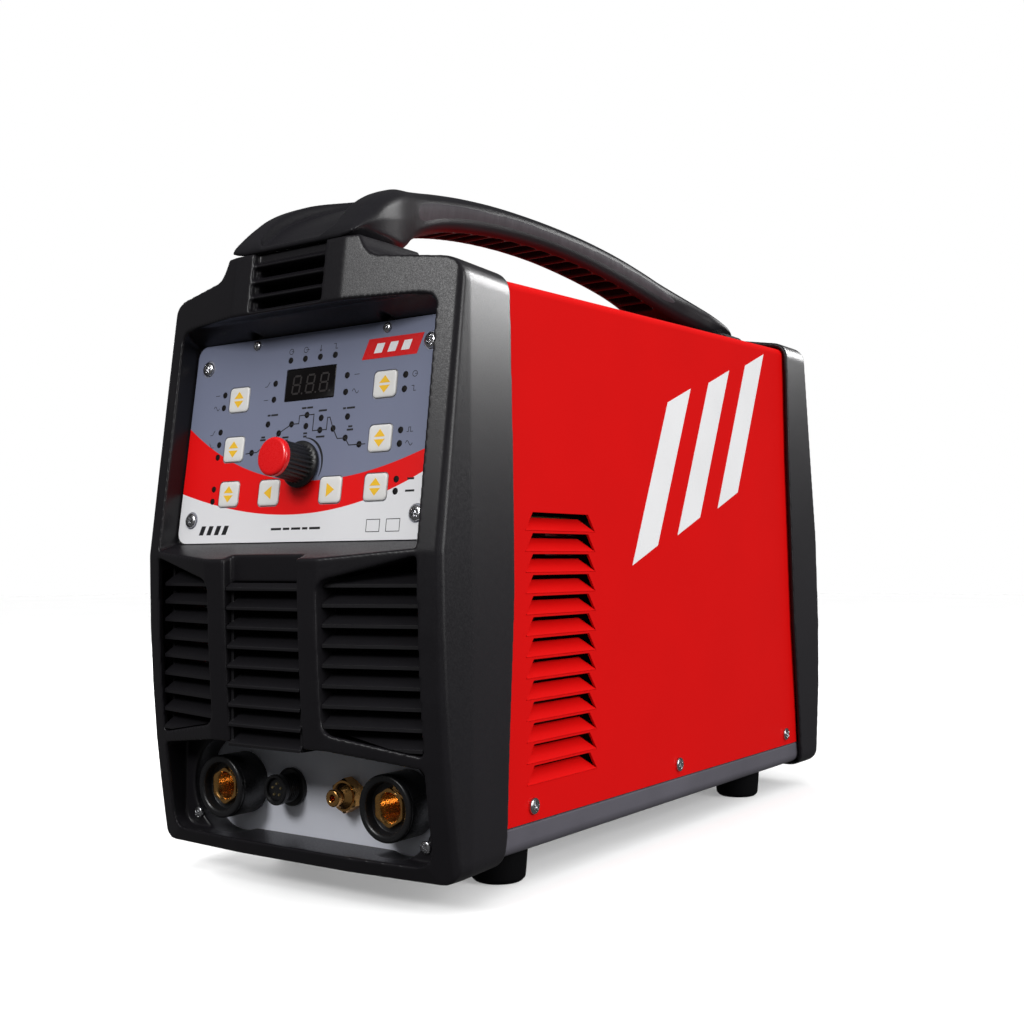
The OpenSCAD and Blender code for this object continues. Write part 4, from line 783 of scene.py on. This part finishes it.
# display: smoked window with faint unlit digits behind its face
DISPLAY_S = 76.8
window = slab(bmesh.new(), rounded_rectangle(38, 18.6, 0.7, 3), -1.8, -0.12,
              PANEL @ Matrix.Translation((0, DISPLAY_S, 0)), 0.15)
piece("display_window_filter", window, "display_plastic", replaces=("display_window",))
digits = bmesh.new()
SEGMENTS = [((-2.3, 5.1), (2.3, 5.1)), ((2.75, 4.7), (2.75, 0.4)), ((2.75, -0.4), (2.75, -4.7)),
            ((-2.3, -5.1), (2.3, -5.1)), ((-2.75, -0.4), (-2.75, -4.7)),
            ((-2.75, 4.7), (-2.75, 0.4)), ((-2.3, 0), (2.3, 0))]
DIGIT_PITCH, DIGIT_LEAN = 10.6, 0.1
DIGIT_LOW, DIGIT_HIGH = -0.13, -0.1
for k in (-1, 0, 1):
    for ends in SEGMENTS:
        pts = [(DIGIT_PITCH * k + x + DIGIT_LEAN * s, DISPLAY_S + s) for x, s in ends]
        ribbon(digits, pts, 1.15, DIGIT_LOW, DIGIT_HIGH, PANEL)
    dot = [(DIGIT_PITCH * k + 4.6 + 0.6 * math.cos(a), DISPLAY_S - 5.3 + 0.6 * math.sin(a))
           for a in (math.tau * i / 12 for i in range(12))]
    slab(digits, dot, DIGIT_LOW, DIGIT_HIGH, PANEL)
piece("display_digits", digits, "segment_unlit")

# Lamps beside their signs, then the lamps along the printed welding cycle.
LAMPS = [(x, 91.8) for x in (-17.2, -5.8, 5.8, 17.2)]
LAMPS += [(x, s) for x in (-27.6, 27.8) for s in (79, 69.5)]
LAMPS += [(-69, 75.4), (-69, 67.6), (70, 75.6), (70, 67.7), (-69.4, 52.7), (-69.4, 45.1),
          (-69.4, 37.5), (70, 45.2), (70, 37.8), (-69.6, 18.3), (-69.6, 11), (70.1, 18.6),
          (70.1, 12.1), (-30.3, 55), (31, 55.3)]
CYCLE = [(-41.2, 38.8), (-30.4, 43.1), (-20.8, 49.1), (-11.3, 53.8), (0.1, 58.4), (0.1, 52),
         (11.3, 55.9), (11.2, 49), (21.1, 49.2), (30.8, 43.3), (41.4, 39.1)]
LAMP_PROFILE = [(0, -7.8), (1.84, -7.8), (1.84, -0.3), (1.7, -0.12), (1.3, -0.04), (0.7, 0), (0, 0.01)]
lamps = bmesh.new()
for x, s in LAMPS + CYCLE:
    lathe(LAMP_PROFILE, PANEL @ Matrix.Translation((x, s, 0)), lamps, 24)
piece("indicator_lamps_domed", lamps, "lamp_plastic", replaces=("indicator_leds",))

graphics = bmesh.new()
LINE_LOW, LINE_HIGH = -0.01, 0.03             # bottom and top of the printed lines
graph = [(-46, 38.4), (-41.2, 38.8), (-37, 38.8), (-30.4, 43.1), (-26, 43.1), (-20.8, 49.1),
         (-11.3, 53.8), (-5.6, 53.8), (-5.6, 58.4), (5.6, 58.4), (5.6, 55.9), (5.6, 49), (16.2, 49),
         (16.2, 55.9), (18, 55.9), (21.1, 49.2), (25, 43.3), (30.8, 43.3), (34, 39.1), (41.4, 39.1),
         (46, 39.1)]
ribbon(graphics, graph, 0.6, LINE_LOW, LINE_HIGH, PANEL)


def circle_line(r, steps=20):
    return [(r * math.cos(math.tau * k / steps), r * math.sin(math.tau * k / steps))
            for k in range(steps + 1)]


def tapered_arc(bm, cx, cs, r, start, end, thick):
    """Crescent that swells from nothing to its full width and back."""
    steps = 30
    rings = []
    for k in range(steps + 1):
        a = math.radians(start + (end - start) * k / steps)
        w = thick * max(0.08, math.sin(math.pi * (0.08 + 0.84 * k / steps)))
        inner, outer = r - w / 2, r + w / 2
        rings.append([(cx + q * math.cos(a), cs + q * math.sin(a), h)
                      for q, h in ((inner, LINE_LOW), (outer, LINE_LOW), (outer, LINE_HIGH),
                                   (inner, LINE_HIGH))])
    loft(rings, PANEL, bm)


tapered_arc(graphics, 0, KNOB_S, 15.4, 86, -28, 1.5)


def dashes(bm, x, s, lengths, height=1.1, gap=0.7):
    """A row of short blank bars that takes the place of a printed word."""
    total = sum(lengths) + gap * (len(lengths) - 1)
    cursor = x - total / 2
    for w in lengths:
        slab(bm, [(cursor, s - height / 2), (cursor + w, s - height / 2),
                  (cursor + w, s + height / 2), (cursor, s + height / 2)],
             LINE_LOW, LINE_HIGH, PANEL)
        cursor += w + gap


def pictogram(bm, x, s, kind):
    """Small plain signs for ramp, pulse and arrow functions."""
    shapes = {
        "ramp_up": [[(-2, -1.4), (0, -1.4), (1.8, 1.4)]],
        "ramp_down": [[(-1.8, 1.4), (0, -1.4), (2, -1.4)]],
        "pulse": [[(-2.2, -1.2), (-1, -1.2), (-1, 1.2), (0.4, 1.2), (0.4, -1.2), (2.2, -1.2)]],
        "bar": [[(-1.8, 0), (1.8, 0)]],
        "down": [[(0, 1.8), (0, -1.8)], [(-0.8, -0.8), (0, -1.9), (0.8, -0.8)]],
        "step": [[(-1.6, 1.4), (0, 1.4), (0, -1.4), (1.6, -1.4)]],
        "ring": [circle_line(1.6), [(0, 0), (1.9, 0)]],
        "ring_out": [circle_line(1.6), [(0, 0), (2.6, 0)]],
        "wave": [[(1.2 * (k / 4 - 2), 1.3 * math.sin(k * math.pi / 8)) for k in range(17)]],
    }
    for line in shapes[kind]:
        ribbon(bm, [(x + a, s + b) for a, b in line], 0.36, LINE_LOW, LINE_HIGH, PANEL)


for x, s, kind in ((-17.2, 97, "ring"), (-5.8, 97, "ring_out"), (5.8, 97, "down"),
                   (17.2, 97, "step"), (-75, 75.4, "bar"), (-75, 67.6, "wave"), (76.5, 75.6, "ring"),
                   (76.5, 67.7, "step"), (-76, 52.7, "ramp_up"), (-76, 45.1, "ramp_down"),
                   (76.5, 45.2, "pulse"), (76.5, 37.8, "wave"), (-34, 79, "ramp_up"),
                   (-34, 69.5, "bar"), (35, 79, "bar"), (35, 69.5, "wave")):
    pictogram(graphics, x, s, kind)
for x, s, lengths in ((0, 62.6, (3.4, 4.4)), (-27, 60.2, (2.2, 5.4)), (31.5, 60.2, (2.2, 6)),
                      (-33, 47.5, (3,)), (-33, 45.9, (4.4,)), (-15, 46.4, (4.8,)), (-15, 44.6, (4,)),
                      (0.2, 47.8, (3,)), (0.2, 46, (2.6,)), (12, 60.2, (6.2,)), (12, 45.2, (6.4,)),
                      (33.8, 49.6, (3,)), (33.8, 47.8, (4.6,)), (80, 12.1, (6.2,)), (80, 18.6, (4.6,))):
    dashes(graphics, x, s, lengths)
# blank frames and title bars in the white field
for x in (56.8, 70.6):
    left, right, low, high = x - 4.6, x + 4.6, -9.2, -2.6
    frame_line = [(left, low), (left, high), (right, high), (right, low), (left, low)]
    ribbon(graphics, frame_line, 0.4, LINE_LOW, LINE_HIGH, PANEL)
for k in range(4):
    x = -78 + 6.4 * k
    bar = [(x, -9), (x + 3.6, -9), (x + 5.6, -3.6), (x + 2, -3.6)]
    slab(graphics, bar, LINE_LOW, LINE_HIGH, PANEL)
dashes(graphics, 0, -6.4, (8, 5, 7, 4, 8), 1.3, 1.4)
piece("panel_graphics", graphics, "print_black")

# blank badge with three plain stripes
badge = bmesh.new()
slab(badge, [(37.6, 86.6), (76.4, 86.6), (80.6, 98), (41.8, 98)], -0.01, 0.1, PANEL)
piece("panel_badge", badge, "print_red")
stripes = bmesh.new()
for k in range(3):
    x = 46 + 9.6 * k
    slab(stripes, [(x, 89.6), (x + 5.6, 89.6), (x + 7.6, 95), (x + 2, 95)], 0.05, 0.14, PANEL)
piece("panel_badge_stripes", stripes, "print_white")

# ------------------------------------------------------------------ connectors
SOCKET_X, SOCKET_Z = 62.4, 51.6
PLATE_Y = 21.6                                # front face of the connector plate
REMOTE_X = -24.6
GAS_X = 20.8
OUTLET_Z = 52.2                               # height of the remote and gas axes
SIXTH = math.pi / 3


def hexagon(a, flats):
    """Radius of a hexagon at angle a, with flats at this distance from its axis."""
    sector = (a + SIXTH / 2) % SIXTH - SIXTH / 2
    return flats / math.cos(sector)


def insert_ring(radius, h, flats=0.0, keyway=0.0):
    """Ring of a socket insert: round, cut to a hexagon, or with the bayonet's keyway on top."""
    steps = 96
    ring = []
    for i in range(steps):
        a = math.tau * i / steps
        r = min(hexagon(a, flats), radius) if flats else radius
        if keyway and math.sin(a) > 0 and abs(radius * math.cos(a)) < 2.1:
            r = radius + keyway
        ring.append((r * math.cos(a), r * math.sin(a), h))
    return ring


for label, x in (("negative", -SOCKET_X), ("positive", SOCKET_X)):
    place = facing((x, 0, SOCKET_Z), (0, -1, 0))
    shell = lathe(soft([(9.3, -32.9), (10.9, -32.9), (10.9, -21.5), (18, -21.5), (18, -3.4),
                        (17.7, -3), (17.7, -2.4), (18, -2), (18, -0.9), (17.1, 0), (14.9, 0),
                        (13.7, -0.9), (13.5, -6.3), (9.3, -6.4), (9.3, -32.9)], 0.5), place, None, 96)
    piece("socket_shell_" + label, shell, "socket_plastic", replaces=("socket_" + label,))
    rows = [insert_ring(9.0, -37.9), insert_ring(9.0, -6.5), insert_ring(10.9, -6.3, 9.3),
            insert_ring(10.9, -4.3, 9.3), insert_ring(10.2, -3.8, 9.3), insert_ring(9.1, -3.7),
            insert_ring(8.3, -3.75), insert_ring(7.8, -4.2, keyway=0.7),
            insert_ring(7.0, -5.3, keyway=1.5)]
    depth = -5.9
    for k in range(14):                       # fine turned rings down the bore
        rows.append(insert_ring(6.7, depth, keyway=1.9))
        rows.append(insert_ring(7.1, depth - 0.6, keyway=1.6))
        depth -= 1.3
    rows.append(insert_ring(6.7, -25.5, keyway=1.9))
    insert = loft(rows, place)
    lathe(soft([(9.1, -33.4), (12.8, -33.4), (12.8, -37.2), (9.1, -37.2)], 0.4), place, insert, 48)
    piece("socket_brass_" + label, insert, "brass", replaces=("socket_insert_" + label,), sharp=28)

remote_place = facing((REMOTE_X, PLATE_Y, OUTLET_Z), (0, -1, 0))
remote = [(7.1, -8.9), (7.1, 0.02), (10.7, 0.02), (10.95, 0.4), (10.95, 2.1), (10.4, 2.55),
          (8.2, 2.7)]
for k in range(5):
    remote += [(7.9, 3.4 + k * 1.5), (8.25, 4.1 + k * 1.5)]
remote += [(7.9, 11.2), (8.6, 11.6), (8.75, 12.1), (8.75, 14.3), (8.3, 14.95), (7, 14.95),
           (6.55, 14.5), (6.5, 6.1), (5.05, 6.0), (5.05, -8.9), (7.1, -8.9)]
piece("remote_shell", lathe(remote, remote_place, None, 72), "socket_plastic",
      replaces=("remote_connector",), sharp=30)
insert = lathe(soft([(0, -7.9), (4.85, -7.9), (4.85, 6.15), (6.4, 6.15), (6.4, 12.9), (0, 13)], 0.3),
               remote_place, None, 40)
piece("remote_insert", insert, "socket_plastic")
CONTACTS, CONTACT_RADIUS = 5, 3.4
pins = bmesh.new()
for k in range(CONTACTS):
    a = math.pi / 2 + math.tau * k / CONTACTS
    spot = (CONTACT_RADIUS * math.cos(a), CONTACT_RADIUS * math.sin(a), 0)
    lathe([(0, -11.9), (0.8, -11.9), (0.8, 13.2), (0.6, 13.6), (0, 13.7)],
          remote_place @ Matrix.Translation(spot), pins, 16)
piece("remote_contacts", pins, "contact_gold", replaces=("remote_pins",))

gas_place = facing((GAS_X, PLATE_Y, OUTLET_Z), (0, -1, 0))
gas = bmesh.new()


def hex_nut(bm, place, flats, low, high):
    """Hexagonal nut with its corners chamfered at both ends."""
    steps, chamfer = 48, 0.8
    corner = flats / math.cos(SIXTH / 2)
    rings = []
    for limit, h in ((flats * 1.02, low), (corner, low + chamfer * 0.5), (corner, high - chamfer),
                     (flats * 0.99, high)):
        ring = []
        for i in range(steps):
            a = math.tau * i / steps
            r = min(hexagon(a, flats), limit)
            ring.append((r * math.cos(a), r * math.sin(a), h))
        rings.append(ring)
    loft(rings, place, bm)


hex_nut(gas, gas_place, 8.5, 0.03, 7.5)
lathe(soft([(0, 7.2), (7.2, 7.2), (7.3, 7.7), (3.8, 10.4), (3.6, 10.9), (3.6, 12.9), (4.75, 13.1),
            (4.8, 15.9), (4.2, 16.5), (2.4, 16.55), (1.9, 16.2), (1.9, 9), (0, 9)], 0.3),
      gas_place, gas, 48)
lathe([(0, -12), (4.9, -12), (4.9, 0.1), (0, 0.1)], gas_place, gas, 32)
hex_nut(gas, gas_place, 8, -5.2, -1.8)
piece("gas_outlet_turned", gas, "brass", replaces=("gas_outlet",), sharp=28)

# ------------------------------------------------------------------ side decoration: plain stripes
STRIPE_T = 0.12
for side, label in ((1, "right"), (-1, "left")):
    bars = bmesh.new()
    for k in range(3):
        y0, z0 = 196 + 62 * k, 178 + 20 * k
        outline = [(y0, z0), (y0 + 34, z0 + 13), (y0 + 84, z0 + 122), (y0 + 50, z0 + 109)]
        loft([[(side * x, y, z) for y, z in outline] for x in (COVER_HALF, COVER_HALF + STRIPE_T)],
             WORK, bars)
    piece("side_stripes_" + label, bars, "print_white")

# ------------------------------------------------------------------ rear fittings
FAN_X, FAN_Z = 22, 148
FAN_SCREW = 52.5                              # fan centre to screw, along x and along z
FAN_BLADES = 7
for node, material in (("switch_body", "switch_plastic"), ("cable_gland", "socket_plastic"),
                       ("gas_inlet", "brass"), ("earth_stud", "brass")):
    bevelled_cad(node, material, width=0.4)
bevelled_cad("switch_rocker", "rocker_plastic", body="rocker", width=0.5, segments=3)
rotor = bmesh.new()
FAN_Y0 = 457
rotor_place = facing((FAN_X, FAN_Y0 + 3.8, FAN_Z), (0, 1, 0))
lathe(soft([(2.06, 0.1), (18.6, 0.1), (19, 0.6), (19, 17), (18, 18), (0, 18)], 0.6), rotor_place, rotor)
for k in range(FAN_BLADES):
    rows = []
    for i in range(9):
        t = i / 8
        r = 18.6 + 35.8 * t
        pitch = math.radians(46 - 20 * t)
        chord = 10.5 + 3 * math.sin(math.pi * t)
        sweep = math.tau * k / FAN_BLADES + 0.25 * t * t
        ring = []
        for c, th in ((-1, 0.25), (-0.5, 0.8), (0.2, 1.0), (1, 0.3), (1, -0.3), (0.2, -0.6),
                      (-0.5, -0.6), (-1, -0.25)):
            u = c * chord * math.cos(pitch)
            v = 9 + c * min(8.2, chord * math.sin(pitch)) + th * 0.9
            a = sweep + u / r
            ring.append((r * math.cos(a), r * math.sin(a), v))
        rows.append(ring)
    loft(rows, rotor_place, rotor)
piece("fan_rotor_blades", rotor, "fan_plastic", body="fan", replaces=("fan_rotor",))
rear_screws = bmesh.new()
GUARD_Y = 498.6
for sx in (-1, 1):
    for sz in (-1, 1):
        spot = (FAN_X + sx * FAN_SCREW, GUARD_Y + 5.65, FAN_Z + sz * FAN_SCREW)
        screw_head(rear_screws, facing(spot, (0, 1, 0)), 4.2, 2, 1.9, 38, 0.2)
for x, y, z in ((96, 482.24, 300), (-96, 478.3, 330), (96, 493.04, 44), (-96, 493.04, 44)):
    screw_head(rear_screws, facing((x, y, z), (0, 1, 0)), 4.2, 2.2, 1.8, 12, 0.9)
piece("rear_screws_turned", rear_screws, "zinc_screw", replaces=("rear_screws",))

# ------------------------------------------------------------------ kept CAD nodes
KEPT = {
    "panel_overlay": "overlay_film", "display_module": "segment_module", "encoder_shaft": "steel",
    "encoder_body": "encoder_metal", "control_board": "board_green", "handle_bolts": "dark_screw",
    "foot_screws": "dark_screw", "fan_guard": "guard_wire", "main_board": "board_green",
    "heat_sinks": "sink_aluminium", "power_modules": "power_epoxy",
    "capacitors": "capacitor_sleeve", "main_transformer": "core_winding",
    "output_choke": "choke_winding", "gas_valve": "valve_metal", "gas_hose": "hose_rubber",
    "busbars": "copper_bar"}
for node, material in KEPT.items():
    obj = CAD_NODES[node]
    if obj.material_slots:
        for slot in obj.material_slots:
            slot.material = MAT[material]
    else:
        obj.data.materials.append(MAT[material])

# ------------------------------------------------------------------ floor
floor_mesh = bpy.data.meshes.new("floor")
floor_bm = bmesh.new()
bmesh.ops.create_grid(floor_bm, x_segments=2, y_segments=2, size=6)
floor_bm.to_mesh(floor_mesh)
floor_bm.free()
floor = bpy.data.objects.new("floor", floor_mesh)
floor.location = (0, 0, -0.0002)
floor_mesh.materials.append(MAT["floor"])
bpy.context.scene.collection.objects.link(floor)
floor.visible_glossy = False        # the bright floor doesn't wash out the black mouldings
floor.visible_diffuse = False

light_only(floor_lift, [floor])
light_only(back_strip, [bezel, rear])
light_only(handle_strip, [handle, bpy.data.objects["handle_grip_right"],
                          bpy.data.objects["handle_grip_left"]])
